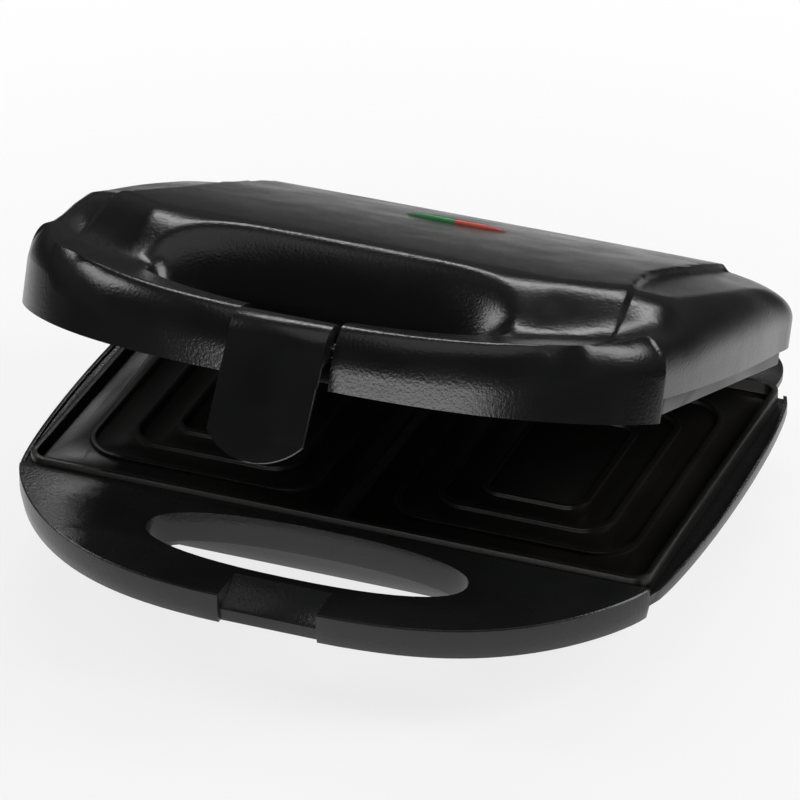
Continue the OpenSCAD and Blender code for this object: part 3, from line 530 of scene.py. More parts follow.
class Place:
    """Turns millimetres from the plates' front edge into the row frame in metres."""

    # Hinge axis, y and z, and the lid's angle at rest.
    HINGE = (173.0, 10.0)
    REST = math.radians(20.5)

    @staticmethod
    def tip(offsets: np.ndarray, angle: float, pivot: tuple[float, float]) -> np.ndarray:
        """Turns points about X and sets them from a pivot.

        Args:
            offsets: N by 3, from the pivot.
            angle: Radians by which the rear goes down.
            pivot: y and z.

        Returns:
            N by 3.
        """
        c, s = math.cos(angle), math.sin(angle)
        out = offsets.copy()
        out[:, 1] = pivot[0] + offsets[:, 1] * c + offsets[:, 2] * s
        out[:, 2] = pivot[1] - offsets[:, 1] * s + offsets[:, 2] * c
        return out

    @staticmethod
    def base(points: np.ndarray) -> np.ndarray:
        """Places N by 3 millimetres, from the plates' front edge and the parting plane."""
        return (np.array(points, dtype=float) + (0.0, PLATE_FRONT_Y, PARTING_Z)) * MM

    @classmethod
    def lid(cls, points: np.ndarray) -> np.ndarray:
        """Places N by 3 millimetres, drawn on the shut lid, with the lid at rest."""
        offsets = np.array(points, dtype=float) - (0.0, *cls.HINGE)
        return cls.base(cls.tip(offsets, cls.REST, cls.HINGE))


# ---------------------------------------------------------------- indicator


@dataclass(frozen=True)
class Lens:
    """Pointed oval of the indicator, drawn on the lid's roof, millimetres.

    Attributes:
        grow: How far its outline is moved out.
        low: Lowest level from the roof.
        high: Highest level from the roof, at its middle line.
        half_l: Half length between the points.
        half_w: Half width.
        at: y and z of its middle on the shut lid.
        tilt: Slope of the roof there.
        steps: Number of steps along it.
        rows: Number of steps across it.
        tip_cut: How much is taken off each point.
        least: Half width at the points, and the ridge's height there.
        roundness: 0 for a flat cross-section, 1 for an elliptic one.
    """

    grow: float = 0.0
    low: float = -3.2
    high: float = 0.8
    half_l: float = 19.6
    half_w: float = 2.6
    at: tuple[float, float] = (109.0, 35.192)
    tilt: float = math.radians(4.625)
    steps: int = 40
    rows: int = 10
    tip_cut: float = 0.15
    least: float = 0.05
    roundness: float = 0.96

    def place(self, points: np.ndarray) -> np.ndarray:
        """Turns points from the lens's own frame into the row frame."""
        return Place.lid(Place.tip(points, self.tilt, self.at))

    def solid(self, name: str, start: float, end: float, finish: Finish,
              domed: bool = False) -> Piece:
        """Makes the part of the lens between two shares of its half length.

        Args:
            name: Piece name.
            start: First end, -1 to 1.
            end: Last end, -1 to 1.
            finish: Surface finish.
            domed: True for a boat-shaped top, False for a flat one.

        Returns:
            A closed solid.
        """
        radius = (self.half_l ** 2 + self.half_w ** 2) / (2 * self.half_w)
        outer, inset = radius + self.grow, radius - self.half_w
        reach = math.sqrt(outer ** 2 - inset ** 2) - self.tip_cut
        points = []
        for i in range(self.steps + 1):
            share = start + (end - start) * i / self.steps
            x = share * min(reach, self.half_l + self.grow)
            half = max(math.sqrt(outer ** 2 - x * x) - inset, self.least)
            ridge = self.high * max(1 - (x / self.half_l) ** 4, 0.0) + self.least
            across = [-1 + 2 * k / self.rows for k in range(self.rows + 1)]
            for v in across:
                crown = ridge * math.sqrt(1 - self.roundness * v * v)
                points.append((x, v * half, crown if domed else self.high))
            points += [(x, -v * half, self.low) for v in across]
        faces = MeshTools.tube_faces(self.steps + 1, 2 * self.rows + 2)
        obj = MeshTools.from_faces(name, self.place(np.array(points)), faces, finish)
        with editing(obj.data) as bm:
            bmesh.ops.recalc_face_normals(bm, faces=bm.faces)
        return obj


@dataclass
class Indicator:
    """The two coloured lenses, which stand proud of the roof.

    Attributes:
        joint: Half of the gap between them, as a share of the half length.
        rise: Height of their middle line above the roof, millimetres.
    """

    joint: float = 0.003
    rise: float = 1.5

    def build(self) -> list[Piece]:
        """Makes both lenses.

        Returns:
            The pieces, which replace their solids.
        """
        made = []
        # Both lens finishes carry a painted glow.
        for node, name, start, end, finish in (
                ("green_lens", "green_window", -1.0, -self.joint, GREEN_LENS_PAINTED_GLOW),
                ("red_lens", "red_window", self.joint, 1.0, RED_LENS_PAINTED_GLOW)):
            obj = Lens(high=self.rise).solid(name, start, end, finish, True)
            MeshTools.shade(obj)
            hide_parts(node)
            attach(obj, Body.LID.value)
            made.append(obj)
        return made


# ---------------------------------------------------------------- lid


@dataclass(frozen=True)
class Ray:
    """A ray from the finger opening to the lid's edge, with the rolls of its section.

    Attributes:
        t: Place on the half outline.
        start: x and y of its point on the opening.
        end: x and y of its point on the edge.
        length: Distance between them.
        edge: Width of the edge roll.
        opening: Width of the opening roll.
        wall_top: Height of the wall below the edge roll.
    """

    t: float
    start: np.ndarray
    end: np.ndarray
    length: float
    edge: float
    opening: float
    wall_top: float

    def at(self, g: float) -> np.ndarray:
        """x and y at distance g from the opening."""
        return self.start + (self.end - self.start) * g / self.length


@dataclass
class LidShell:
    """The moulded lid, with a section on each ray from the finger opening to the edge.

    Sizes are millimetres on the shut lid. A place t on the half outline is 0 at the front middle
    and 1 at the rear middle.
    """

    # Outline: the half moon in front of the side corner, the bulging side, and the rear.
    half_w: float = 119.0
    moon_depth: float = 56.5
    corner_y: float = -1.0
    moon_nx: float = 3.07
    moon_ny: float = 1.228
    side_bulge: float = 3.6
    side_mid_y: float = 75.0
    rear_corner_y: float = 128.0
    rear_run: float = 37.5
    rear_nx: float = 3.4
    rear_ny: float = 4.4
    t_corner: float = 0.45
    t_rear: float = 0.62
    # Finger opening: half axes, middle, squareness, and its angle in degrees at places t.
    slot_a: float = 60.0
    slot_b: float = 17.0
    slot_y: float = -22.7
    slot_n: float = 2.3
    slot_turn: Table = ((0, 0.45, 0.62, 1), (-90, 5, 28, 90))
    # Bar in front of the opening: height, rise towards its ends, and their steeper tips.
    bar_h: float = 20.3
    bar_rise: float = 6.0
    bar_half: float = 110.0
    bar_tip_x: float = 100.0
    bar_tip_slope: float = 0.2
    # Dome: height at the front, and its fall over a run to the rear.
    dome_h: float = 39.6
    dome_fall: float = 10.1
    dome_run: float = 165.0
    # Ramp from bar to dome: y of its foot, the foot's bow, its run, and how the run shortens.
    ramp_y: float = -44.0
    ramp_bow: float = 18.0
    ramp_bow_half: float = 70.0
    ramp_run: float = 46.0
    ramp_cut: float = 15.0
    ramp_cut_half: float = 75.0
    # Shoulder outside the crease: the crease's x and spread, the step, and the slope beyond it.
    crease: float = 88.0
    crease_spread: float = 10.0
    crease_from: float = 75.0
    crease_run: float = 85.0
    shoulder_step: float = 2.2
    step_front: float = 0.8
    step_run: float = 50.0
    step_width: float = 2.5
    shoulder_slope: float = 0.09
    slope_run: float = 40.0
    # Wall, skirt below the parting plane, and the wall round the opening.
    wall: float = 2.2
    skirt_front: float = -1.7
    skirt_side: float = 6.8
    slot_wall_top: float = 8.0
    # Places t with the edge roll's width and the wall's top there; then, as tables over t, the
    # opening roll's width and the edge's crispness; and the least gap between the rolls.
    edge_at: tuple[float, ...] = (0, 0.17, 0.22, 0.25, 0.30, 0.35, 0.45, 0.48, 0.51, 0.62, 0.72,
                                  0.82, 1)
    edge_roll: tuple[float, ...] = (12, 12, 8, 4, 6, 8, 9, 17, 24, 26, 20, 9, 8)
    wall_tops: tuple[float, ...] = (5, 6, 9, 14, 15, 15, 12, 13, 16, 16, 18, 22, 22)
    opening_roll: Table = ((0, 0.30, 0.42, 0.5, 1), (8, 9, 11, 13, 13))
    crispness: Table = ((0.2, 0.25, 0.42, 0.46), (0, 0.5, 0.45, 0))
    roll_gap: float = 0.5
    # Latch notch: half width, rear end, and how far it cuts to the front, down and up.
    notch_half: float = 18.3
    notch_back: float = -42.5
    notch_reach: Triple = (-70.0, -10.0, 60.0)
    # Hinge arms: x, width, eye radius, front end and half height, the heel's run and half height.
    arm_x: float = 72.0
    arm_w: float = 13.4
    arm_r: float = 6.2
    arm_front: float = 158.5
    arm_half_h: float = 6.0
    heel_run: float = 11.5
    heel_half_h: float = 2.5
    pin_r: float = 2.55
    pin_half: float = 14.0
    # Posts of the upper plate: x, y, radius, and the y whose roof height they reach; their foot.
    posts_at: tuple[tuple[float, float, float, float], ...] = ((*LUG_AT, 4.0, 152.0),
                                                               (72.0, 5.0, 3.5, 1.5))
    post_foot: float = 6.6
    # Screw holes in the rear posts: foot, length and radius.
    hole: Triple = (5.6, 12.0, 1.8)
    recess: Lens = Lens(0.1, -4.2, 4.0)
    # Rings on the three parts of the outline, and how far they stay from the side corner.
    stations: tuple[int, int, int] = (64, 14, 56)
    corner_gap: float = 0.0005
    # Steps of each skin over the opening roll, to the crease and over the edge roll.
    outer_steps: tuple[int, int, int] = (14, 22, 18)
    inner_steps: tuple[int, int, int] = (6, 12, 8)
    # Steps across the crease, from it to the edge roll, and in the search for it; its width.
    crease_steps: int = 6
    rest_steps: int = 12
    search_steps: int = 60
    crease_width: float = 3.0

    @staticmethod
    def _pow(value: float, power: float) -> float:
        """Power that keeps the sign of its base."""
        return math.copysign(abs(value) ** power, value)

    @staticmethod
    def _quarter(value: float) -> float:
        """Height of a quarter circle."""
        value = 1 - min(max(value, 0.0), 1.0)
        return math.sqrt(max(1 - value * value, 0.0))

    def side_x(self, y: float) -> float:
        """Half width of the side wall at y."""
        share = (y - self.side_mid_y) / (self.side_mid_y - self.corner_y)
        return self.half_w + self.side_bulge * (1 - share ** 2)

    def edge(self, t: float) -> np.ndarray:
        """Outer edge at place t of the half outline.

        Args:
            t: Place on the half outline.

        Returns:
            x and y.
        """
        if t <= self.t_corner:
            a = math.radians(90 * t / self.t_corner)
            depth = self.moon_depth * max(math.cos(a), 0.0) ** (2 / self.moon_ny)
            return np.array([self.half_w * self._pow(math.sin(a), 2 / self.moon_nx),
                             self.corner_y - depth])
        if t <= self.t_rear:
            run = self.rear_corner_y - self.corner_y
            y = self.corner_y + run * (t - self.t_corner) / (self.t_rear - self.t_corner)
            return np.array([self.side_x(y), y])
        a = math.radians(90 * (t - self.t_rear) / (1 - self.t_rear))
        across = max(math.cos(a), 0.0) ** (2 / self.rear_nx)
        return np.array([self.side_x(self.rear_corner_y) * across,
                         self.rear_corner_y + self.rear_run * math.sin(a) ** (2 / self.rear_ny)])

    def slot(self, t: float) -> np.ndarray:
        """Edge of the finger opening on the ray of a place.

        Args:
            t: Place on the half outline.

        Returns:
            x and y.
        """
        a = math.radians(float(np.interp(t, *self.slot_turn)))
        return np.array([self.slot_a * self._pow(math.cos(a), 2 / self.slot_n),
                         self.slot_y + self.slot_b * self._pow(math.sin(a), 2 / self.slot_n)])

    def crease_x(self, y: float) -> float:
        """Distance of the shoulder crease from the middle at y."""
        return self.crease + self.crease_spread * ease((self.crease_from - y) / self.crease_run)

    def top(self, x: float, y: float) -> float:
        """Height of the lid before its edges are rounded.

        Args:
            x: Distance from the middle, either sign.
            y: Distance from the plates' front edge.

        Returns:
            z.
        """
        side = abs(x)
        bar = (self.bar_h + self.bar_rise * (x / self.bar_half) ** 2
               + self.bar_tip_slope * max(0.0, side - self.bar_tip_x))
        dome = self.dome_h - self.dome_fall * (y / self.dome_run) ** 2
        foot = self.ramp_y + self.ramp_bow * (x / self.ramp_bow_half) ** 2
        run = self.ramp_run - self.ramp_cut * min(1.0, side / self.ramp_cut_half) ** 3
        beyond = max(side - self.crease_x(y), 0.0)
        step = self.step_front + (self.shoulder_step - self.step_front) * ease(y / self.step_run)
        return (bar + (dome - bar) * ease((y - foot) / run) - step * ease(beyond / self.step_width)
                - self.shoulder_slope * beyond * ease(y / self.slope_run))

    def ray(self, t: float) -> Ray:
        """Ray of a place, with its rolls narrowed where they would meet.

        Args:
            t: Place on the half outline.

        Returns:
            The ray.
        """
        start, end = self.slot(t), self.edge(t)
        length = float(np.hypot(*(end - start)))
        edge = float(np.interp(t, self.edge_at, self.edge_roll))
        wall_top = float(np.interp(t, self.edge_at, self.wall_tops))
        opening = float(np.interp(t, *self.opening_roll))
        fit = min(1.0, (length - self.roll_gap) / (edge + opening))
        return Ray(t, start, end, length, edge * fit, opening * fit, wall_top)

    def height(self, ray: Ray, g: float, w: float) -> float:
        """Height of a skin.

        Args:
            ray: The ray.
            g: Distance from the opening along it.
            w: Inset of the skin, 0 outside and the wall thickness inside.

        Returns:
            z.
        """
        z = self.top(*ray.at(g)) - w
        e = ray.length - g
        if e < ray.edge:
            crisp = float(np.interp(ray.t, *self.crispness))
            u = min(max((e - w) / (ray.edge - w), 0.0), 1.0)
            share = self._quarter(u) * (1 - crisp) + u * crisp
            z = ray.wall_top + (z - ray.wall_top) * share
        if g < ray.opening:
            share = self._quarter((g - w) / (ray.opening - w))
            z = self.slot_wall_top + (z - self.slot_wall_top) * share
        return z

    def crossing(self, ray: Ray, low: float, high: float) -> float:
        """Where a ray crosses the shoulder crease.

        Args:
            ray: The ray.
            low: Least distance from the opening.
            high: Greatest distance, given where it doesn't cross.

        Returns:
            Distance from the opening.
        """
        for g in np.linspace(low, high, self.search_steps):
            x, y = ray.at(g)
            if abs(x) > self.crease_x(y):
                return float(g)
        return high

    def distances(self, ray: Ray, w: float, steps: tuple[int, int, int]) -> list[float]:
        """Distances along a ray for one skin, close together on the rolls and at the crease.

        Args:
            ray: The ray.
            w: Inset of the skin.
            steps: Steps over the opening roll, to the crease and over the edge roll.

        Returns:
            Distances from the opening, rising.
        """
        n_in, n_mid, n_out = steps
        low, high = ray.opening, ray.length - ray.edge
        cross = self.crossing(ray, low, high)
        after = min(self.crease_width, max(high - cross, 0.0))
        rest = high - cross - after
        turn = math.pi / 2
        return [
            *(w + (low - w) * (1 - math.cos(turn * i / n_in)) for i in range(n_in + 1)),
            *(low + (cross - low) * i / n_mid for i in range(1, n_mid)),
            *(cross + after * i / self.crease_steps for i in range(self.crease_steps + 1)),
            *(cross + after + rest * i / self.rest_steps for i in range(1, self.rest_steps)),
            *(ray.length - w - (ray.edge - w) * (1 - math.cos(turn * i / n_out))
              for i in range(n_out, -1, -1))]

    def skin(self, ray: Ray, w: float, steps: tuple[int, int, int]) -> list[list[float]]:
        """Points of one skin, from the opening's foot to the edge's foot.

        Args:
            ray: The ray.
            w: Inset of the skin.
            steps: Steps over the opening roll, to the crease and over the edge roll.

        Returns:
            x, y and z of each point.
        """
        foot = self.skirt_front if ray.t < self.t_corner else self.skirt_side
        return [[*ray.at(w), self.skirt_front],
                *([*ray.at(g), self.height(ray, g, w)] for g in self.distances(ray, w, steps)),
                [*ray.at(ray.length - w), foot]]

    def section(self, t: float) -> np.ndarray:
        """Closed section on the ray of a place.

        Args:
            t: Place on the half outline.

        Returns:
            N by 3 points, up round the opening, over, down the edge and back inside.
        """
        ray = self.ray(t)
        inner = self.skin(ray, self.wall, self.inner_steps)
        return np.array(self.skin(ray, 0.0, self.outer_steps) + inner[::-1])

    def rings(self) -> list[np.ndarray]:
        """Sections all the way round the lid.

        Returns:
            The right half from the front to the rear, then the left half back to the front.
        """
        moon, side, rear = self.stations
        places = [*np.linspace(0, self.t_corner - self.corner_gap, moon),
                  *np.linspace(self.t_corner + self.corner_gap, self.t_rear, side),
                  *np.linspace(self.t_rear, 1, rear)[1:]]
        right = [self.section(float(t)) for t in places]
        return right + [ring * (-1.0, 1.0, 1.0) for ring in right[-2:0:-1]]

    def build(self) -> Piece:
        """Makes the lid piece with its notch, arms and indicator recess.

        Returns:
            The piece, which replaces the lid housing.
        """
        rings = self.rings()
        faces = [face[::-1] for face in MeshTools.tube_faces(len(rings), len(rings[0]), True)]
        points = Place.lid(np.concatenate(rings))
        obj = MeshTools.from_faces("lid_moulding", points, faces, SHELL)
        for extra in [*self.posts(), *self.arms()]:
            MeshTools.combine(obj, extra, Operation.UNION)
        for cutter in self.cutters():
            MeshTools.combine(obj, cutter, Operation.DIFFERENCE)
        MeshTools.shade(obj, 38.0)
        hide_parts("lid_housing")
        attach(obj, Body.LID.value)
        return obj

    def posts(self) -> list[Piece]:
        """Posts that carry the upper plate.

        Returns:
            One rod for each post.
        """
        made = []
        for side in (-1, 1):
            for x, y, radius, rise in self.posts_at:
                length = self.top(x, rise) - self.wall / 2 - self.post_foot
                made.append(MeshTools.rod((side * x, y, self.post_foot), Axis.Z, length, radius))
        return made

    def arms(self) -> list[Piece]:
        """Arms that reach back to the hinge pins, with the heels that stop the lid.

        Returns:
            An eye, a bar and a heel for each side.
        """
        made = []
        y, z = Place.HINGE
        for side in (-1, 1):
            x = side * self.arm_x - self.arm_w / 2
            made.append(MeshTools.rod((x, y, z), Axis.X, self.arm_w, self.arm_r))
            for start, end, half in ((self.arm_front, y, self.arm_half_h),
                                     (y, y + self.heel_run, self.heel_half_h)):
                made.append(MeshTools.block((x, start, z - half), (x + self.arm_w, end, z + half)))
        return made

    def cutters(self) -> list[Piece]:
        """Solids that cut the latch notch, the pin bores, the screw holes and the recess.

        Returns:
            The solids, in the order in which they cut.
        """
        front, low, high = self.notch_reach
        made = [MeshTools.block((-self.notch_half, front, low),
                                (self.notch_half, self.notch_back, high))]
        foot, length, radius = self.hole
        for side in (-1, 1):
            bore = (side * self.arm_x - self.pin_half, *Place.HINGE)
            made.append(MeshTools.rod(bore, Axis.X, 2 * self.pin_half, self.pin_r))
            hole = (side * LUG_AT[0], LUG_AT[1], foot)
            made.append(MeshTools.rod(hole, Axis.Z, length, radius))
        made.append(self.recess.solid("recess", -1.0, 1.0, SHELL))
        return made


# ---------------------------------------------------------------- base, plates and latch


@dataclass
class BaseShell:
    """The base mouldings: the half-moon handle with its deck and ears, and the tub below.

    Attributes:
        rounding: Edge rounding in millimetres.
        room_half: Half width of the finger room behind the grip, where the tub's front leans back.
        room_blend: Width over which that room fades out.
        room_depth: How far the front's lower edge moves back.
        room_band: Lowest level and top of the leaning part, above the table.
        room_back: y behind which nothing moves.
        splits: Steps into which the band and the blend are cut.
    """

    rounding: float = 0.45
    room_half: float = 66.0
    room_blend: float = 8.0
    room_depth: float = 8.0
    room_band: tuple[float, float] = (4.0, 27.0)
    room_back: float = 30.0
    splits: int = 4

    def build(self) -> list[Piece]:
        """Makes both base pieces from their solids, with softened edges.

        Returns:
            The deck and the tub.
        """
        tub = MeshTools.softened("base_tub", "tub_moulding", SHELL, self.rounding, Body.BASE)
        self.lean_back(tub)
        # The deck's lighter base colour is painted light on the handle top.
        deck = MeshTools.softened("base_frame", "deck_moulding", DECK_PAINTED_LIGHT, self.rounding, Body.BASE)
        return [deck, tub]

    def lean_back(self, tub: Piece) -> None:
        """Leans the middle of the tub's front wall back, to give fingers room behind the grip.

        Args:
            tub: The tub piece.
        """
        low, high = self.room_band
        with editing(tub.data) as bm:
            for side in (-1, 1):
                for step in range(self.splits + 1):
                    x = side * (self.room_half + self.room_blend * step / self.splits) * MM
                    self._split(bm, (x, 0, 0), (1, 0, 0))
            for step in range(1, self.splits + 1):
                z = (low + (high - low) * step / self.splits) * MM
                self._split(bm, (0, 0, z), (0, 0, 1))
            for vert in bm.verts:
                x, y, z = vert.co.x / MM, vert.co.y / MM - PLATE_FRONT_Y, vert.co.z / MM
                if y > self.room_back or z > high:
                    continue
                across = ease((self.room_half + self.room_blend - abs(x)) / self.room_blend)
                vert.co.y += self.room_depth * (across * (high - z) / (high - low)) * MM
        MeshTools.shade(tub)

    @staticmethod
    def _split(bm: bmesh.types.BMesh, point: Triple, normal: Triple) -> None:
        """Cuts every face that a plane crosses, without opening the mesh."""
        bmesh.ops.bisect_plane(bm, geom=[*bm.verts, *bm.edges, *bm.faces], plane_co=point,
                               plane_no=normal, dist=1e-7)


@dataclass
class PlateSet:
    """The two cast cooking plates.

    Attributes:
        rounding: Edge rounding in millimetres.
        limit: Smallest edge angle that is rounded, in degrees.
    """

    rounding: float = 0.6
    limit: float = 40.0

    def build(self) -> list[Piece]:
        """Makes the lower and the upper plate from their solids, with softened edges."""
        return [MeshTools.softened(node, name, COATING, self.rounding, body, self.limit)
                for node, name, body in (("lower_plate", "lower_casting", Body.BASE),
                                         ("upper_plate", "upper_casting", Body.LID))]


@dataclass
class Latch:
    """The swinging clip and the bracket that carries it.

    Attributes:
        clip_rounding: Edge rounding of the clip in millimetres.
        clip_limit: Smallest edge angle of the clip that is rounded, in degrees.
        bracket_rounding: Edge rounding of the bracket in millimetres.
    """

    clip_rounding: float = 0.5
    clip_limit: float = 34.0
    bracket_rounding: float = 0.3

    def build(self) -> list[Piece]:
        """Makes the clip and the bracket from their solids."""
        return [MeshTools.softened("latch_clip", "clip_moulding", SHELL, self.clip_rounding,
                                   Body.LATCH, self.clip_limit),
                MeshTools.softened("latch_bracket", "bracket_moulding", SHELL,
                                   self.bracket_rounding, Body.LID)]


# ---------------------------------------------------------------- screws


class ScrewTree:
    """Geometry Nodes tree that sets a turned screw on every point of a mesh."""

    NAME = "screws_on_points"
    INPUTS = (("Head Radius", 3.2), ("Head Height", 2.2), ("Crown Share", 0.7),
              ("Shank Radius", 1.6), ("Shank Length", 11.0), ("Recess Width", 0.7),
              ("Recess Depth", 0.9), ("Turn", 0.0))
    SIDES = 32
    # How far the shank reaches into the head, millimetres.
    OVERLAP = 0.5

    def __init__(self) -> None:
        """Builds the tree, millimetres throughout."""
        self.tree = bpy.data.node_groups.new(self.NAME, "GeometryNodeTree")
        self.tree.is_modifier = True
        face = self.tree.interface
        face.new_socket(name="Geometry", in_out="INPUT", socket_type="NodeSocketGeometry")
        for name, value in self.INPUTS:
            face.new_socket(name=name, in_out="INPUT",
                            socket_type="NodeSocketFloat").default_value = value
        face.new_socket(name="Material", in_out="INPUT", socket_type="NodeSocketMaterial")
        face.new_socket(name="Geometry", in_out="OUTPUT", socket_type="NodeSocketGeometry")
        self.wires = Wiring(self.tree)
        self.given = self.wires.add("NodeGroupInput").outputs
        self._wire()

    def _vector(self, **parts: Socket) -> Socket:
        """Adds a vector made from sockets; parts that aren't given stay 0."""
        return self.wires.add("ShaderNodeCombineXYZ", parts).outputs[0]

    def _lifted(self, mesh: Socket, height: Socket) -> Socket:
        """Moves a mesh along Z."""
        return self.wires.add("GeometryNodeTransform", {
            "Geometry": mesh, "Translation": self._vector(Z=height)}).outputs[0]

    def _cylinder(self, radius: Socket, depth: Socket) -> Socket:
        """Adds a cylinder about the origin."""
        return self.wires.add("GeometryNodeMeshCylinder", {
            "Vertices": self.SIDES, "Radius": radius, "Depth": depth}).outputs["Mesh"]

    def _boolean(self, operation: Operation, meshes: Sequence[Socket],
                 first: Socket | None = None) -> Socket:
        """Joins meshes, or cuts them from the first.

        Args:
            operation: How they combine.
            meshes: The meshes that join or cut.
            first: The mesh that is cut.

        Returns:
            The result's socket.
        """
        node = self.wires.add("GeometryNodeMeshBoolean", {} if first is None else {0: first},
                              operation=operation.value, solver="EXACT")
        for mesh in meshes:
            self.wires.feed(node, {1: mesh})
        return node.outputs["Mesh"]

    def _wire(self) -> None:
        """Draws the head, shank and cross recess, and sets them on the points."""
        add, calc, given = self.wires.add, self.wires.math, self.given
        radius = given["Head Radius"]
        half = calc("MULTIPLY", given["Head Height"], 0.5)
        seat = self._lifted(self._cylinder(radius, half), calc("MULTIPLY", half, 0.5))
        cone = add("GeometryNodeMeshCone", {
            "Vertices": self.SIDES, "Radius Top": calc("MULTIPLY", radius, given["Crown Share"]),
            "Radius Bottom": radius, "Depth": half})
        crown = self._lifted(cone.outputs["Mesh"], half)
        length = calc("ADD", given["Shank Length"], self.OVERLAP)
        drop = calc("SUBTRACT", self.OVERLAP, calc("MULTIPLY", length, 0.5))
        shank = self._lifted(self._cylinder(given["Shank Radius"], length), drop)
        body = self._boolean(Operation.UNION, (seat, crown, shank))
        bars = []
        for along, across in (("X", "Y"), ("Y", "X")):
            size = self._vector(**{along: radius, across: given["Recess Width"],
                                   "Z": calc("MULTIPLY", given["Recess Depth"], 2.0)})
            bar = add("GeometryNodeMeshCube", {"Size": size}).outputs["Mesh"]
            bars.append(self._lifted(bar, given["Head Height"]))
        screw = self._boolean(Operation.DIFFERENCE, bars, body)
        place = add("GeometryNodeInstanceOnPoints", {
            "Points": given["Geometry"], "Instance": screw,
            "Rotation": self._vector(X=given["Turn"])})
        real = add("GeometryNodeRealizeInstances", {"Geometry": place.outputs["Instances"]})
        paint = add("GeometryNodeSetMaterial", {
            "Geometry": real.outputs["Geometry"], "Material": given["Material"]})
        add("NodeGroupOutput", {"Geometry": paint.outputs["Geometry"]})

    def set_on(self, obj: Piece, values: Mapping[str, object]) -> None:
        """Runs the tree on a mesh of loose points and keeps the result.

        Args:
            obj: The mesh object.
            values: Input names and values.
        """
        mod = obj.modifiers.new("screws", "NODES")
        mod.node_group = self.tree
        names = {item.name: item.identifier for item in self.tree.interface.items_tree
                 if item.in_out == "INPUT"}
        for name, value in values.items():
            mod[names[name]] = value
        MeshTools.bake(obj)


@dataclass(frozen=True)
class ScrewSet:
    """Screws of one node.

    Attributes:
        node: Node that they replace.
        name: Piece name.
        at: Seats of their heads, millimetres from the plates' front edge, lid shut.
        length: Shank length in millimetres.
        head_down: True where the head points down.
        body: Body that they ride on.
    """

    node: str
    name: str
    at: tuple[Triple, ...]
    length: float
    head_down: bool
    body: Body

    def build(self, tree: ScrewTree) -> Piece:
        """Makes the screws.

        Args:
            tree: The screw tree.

        Returns:
            The piece.
        """
        points = [(side * x, y, z) for x, y, z in self.at for side in (-1, 1)]
        obj = MeshTools.from_faces(self.name, points, [], STEEL)
        tree.set_on(obj, {"Shank Length": self.length, "Turn": math.pi if self.head_down else 0.0,
                          "Material": STEEL.material()})
        place = Place.lid if self.body is Body.LID else Place.base
        count = len(obj.data.vertices)
        flat = np.empty(count * 3)
        obj.data.vertices.foreach_get("co", flat)
        obj.data.vertices.foreach_set("co", place(flat.reshape(count, 3)).ravel())
        MeshTools.shade(obj, 35.0)
        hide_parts(self.node)
        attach(obj, self.body.value)
        return obj


CASE_AT = ((98.2, 40.0, -36.0), (66.0, 162.0, -36.0))
TRAY_AT = ((86.0, 20.0), (86.0, 128.0))
# Heights of the lug screws' and the tray screws' seats from the parting plane.
LUG_SEAT = 4.8
TRAY_SEAT = 16.6
SCREWS = (
    ScrewSet("base_screws", "case_screws", CASE_AT, 23.0, True, Body.BASE),
    ScrewSet("lower_plate_screws", "lower_lug_screws", ((*LUG_AT, -LUG_SEAT),), 11.0, False,
             Body.BASE),
    ScrewSet("upper_plate_screws", "upper_lug_screws", ((*LUG_AT, LUG_SEAT),), 11.0, True,
             Body.LID),
    ScrewSet("lower_reflector_screws", "lower_tray_screws",
             tuple((*at, -TRAY_SEAT) for at in TRAY_AT), 7.0, True, Body.BASE),
    ScrewSet("upper_reflector_screws", "upper_tray_screws",
             tuple((*at, TRAY_SEAT) for at in TRAY_AT), 7.0, False, Body.LID),
)

NODE_FINISHES: dict[str, Finish] = {
    "lower_heating_element": HEATED_STEEL, "upper_heating_element": HEATED_STEEL,
    "lower_reflector": SHEET_METAL, "upper_reflector": SHEET_METAL,
    "lower_thermostat": CERAMIC, "upper_thermostat": CERAMIC,
    "thermal_fuse": STEEL, "terminal_block": CERAMIC, "lamp_holder": CERAMIC,
    "cord_gland": RUBBER, "rubber_feet": RUBBER, "hinge_pins": STEEL, "latch_pin": STEEL,
    "neon_lamps": BULB,
}


def dress_nodes() -> None:
    """Gives every solid that stays its own finish."""
    for node, finish in NODE_FINISHES.items():
        MeshTools.paint(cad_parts[node].data, finish)
        log.info("finish %s on %s", finish.name, node)


# ---------------------------------------------------------------- studio


@dataclass(frozen=True)
class SoftBox:
    """A rectangular area light.

    Attributes:
        name: Light name.
        place: Position in metres.
        size: Width and height in metres.
        power: Watts.
    """

    name: str
    place: Triple
    size: tuple[float, float]
    power: float

    def build(self, aim: Triple) -> None:
        """Adds the light.

        Args:
            aim: Point it faces.
        """
        data = bpy.data.lights.new(self.name, "AREA")
        data.shape = "RECTANGLE"
        data.size, data.size_y = self.size
        data.energy = self.power
        obj = add_object(self.name, data)
        obj.location = self.place
        aside = Vector(self.place) - Vector(aim)
        obj.rotation_euler = aside.to_track_quat("Z", "Y").to_euler()


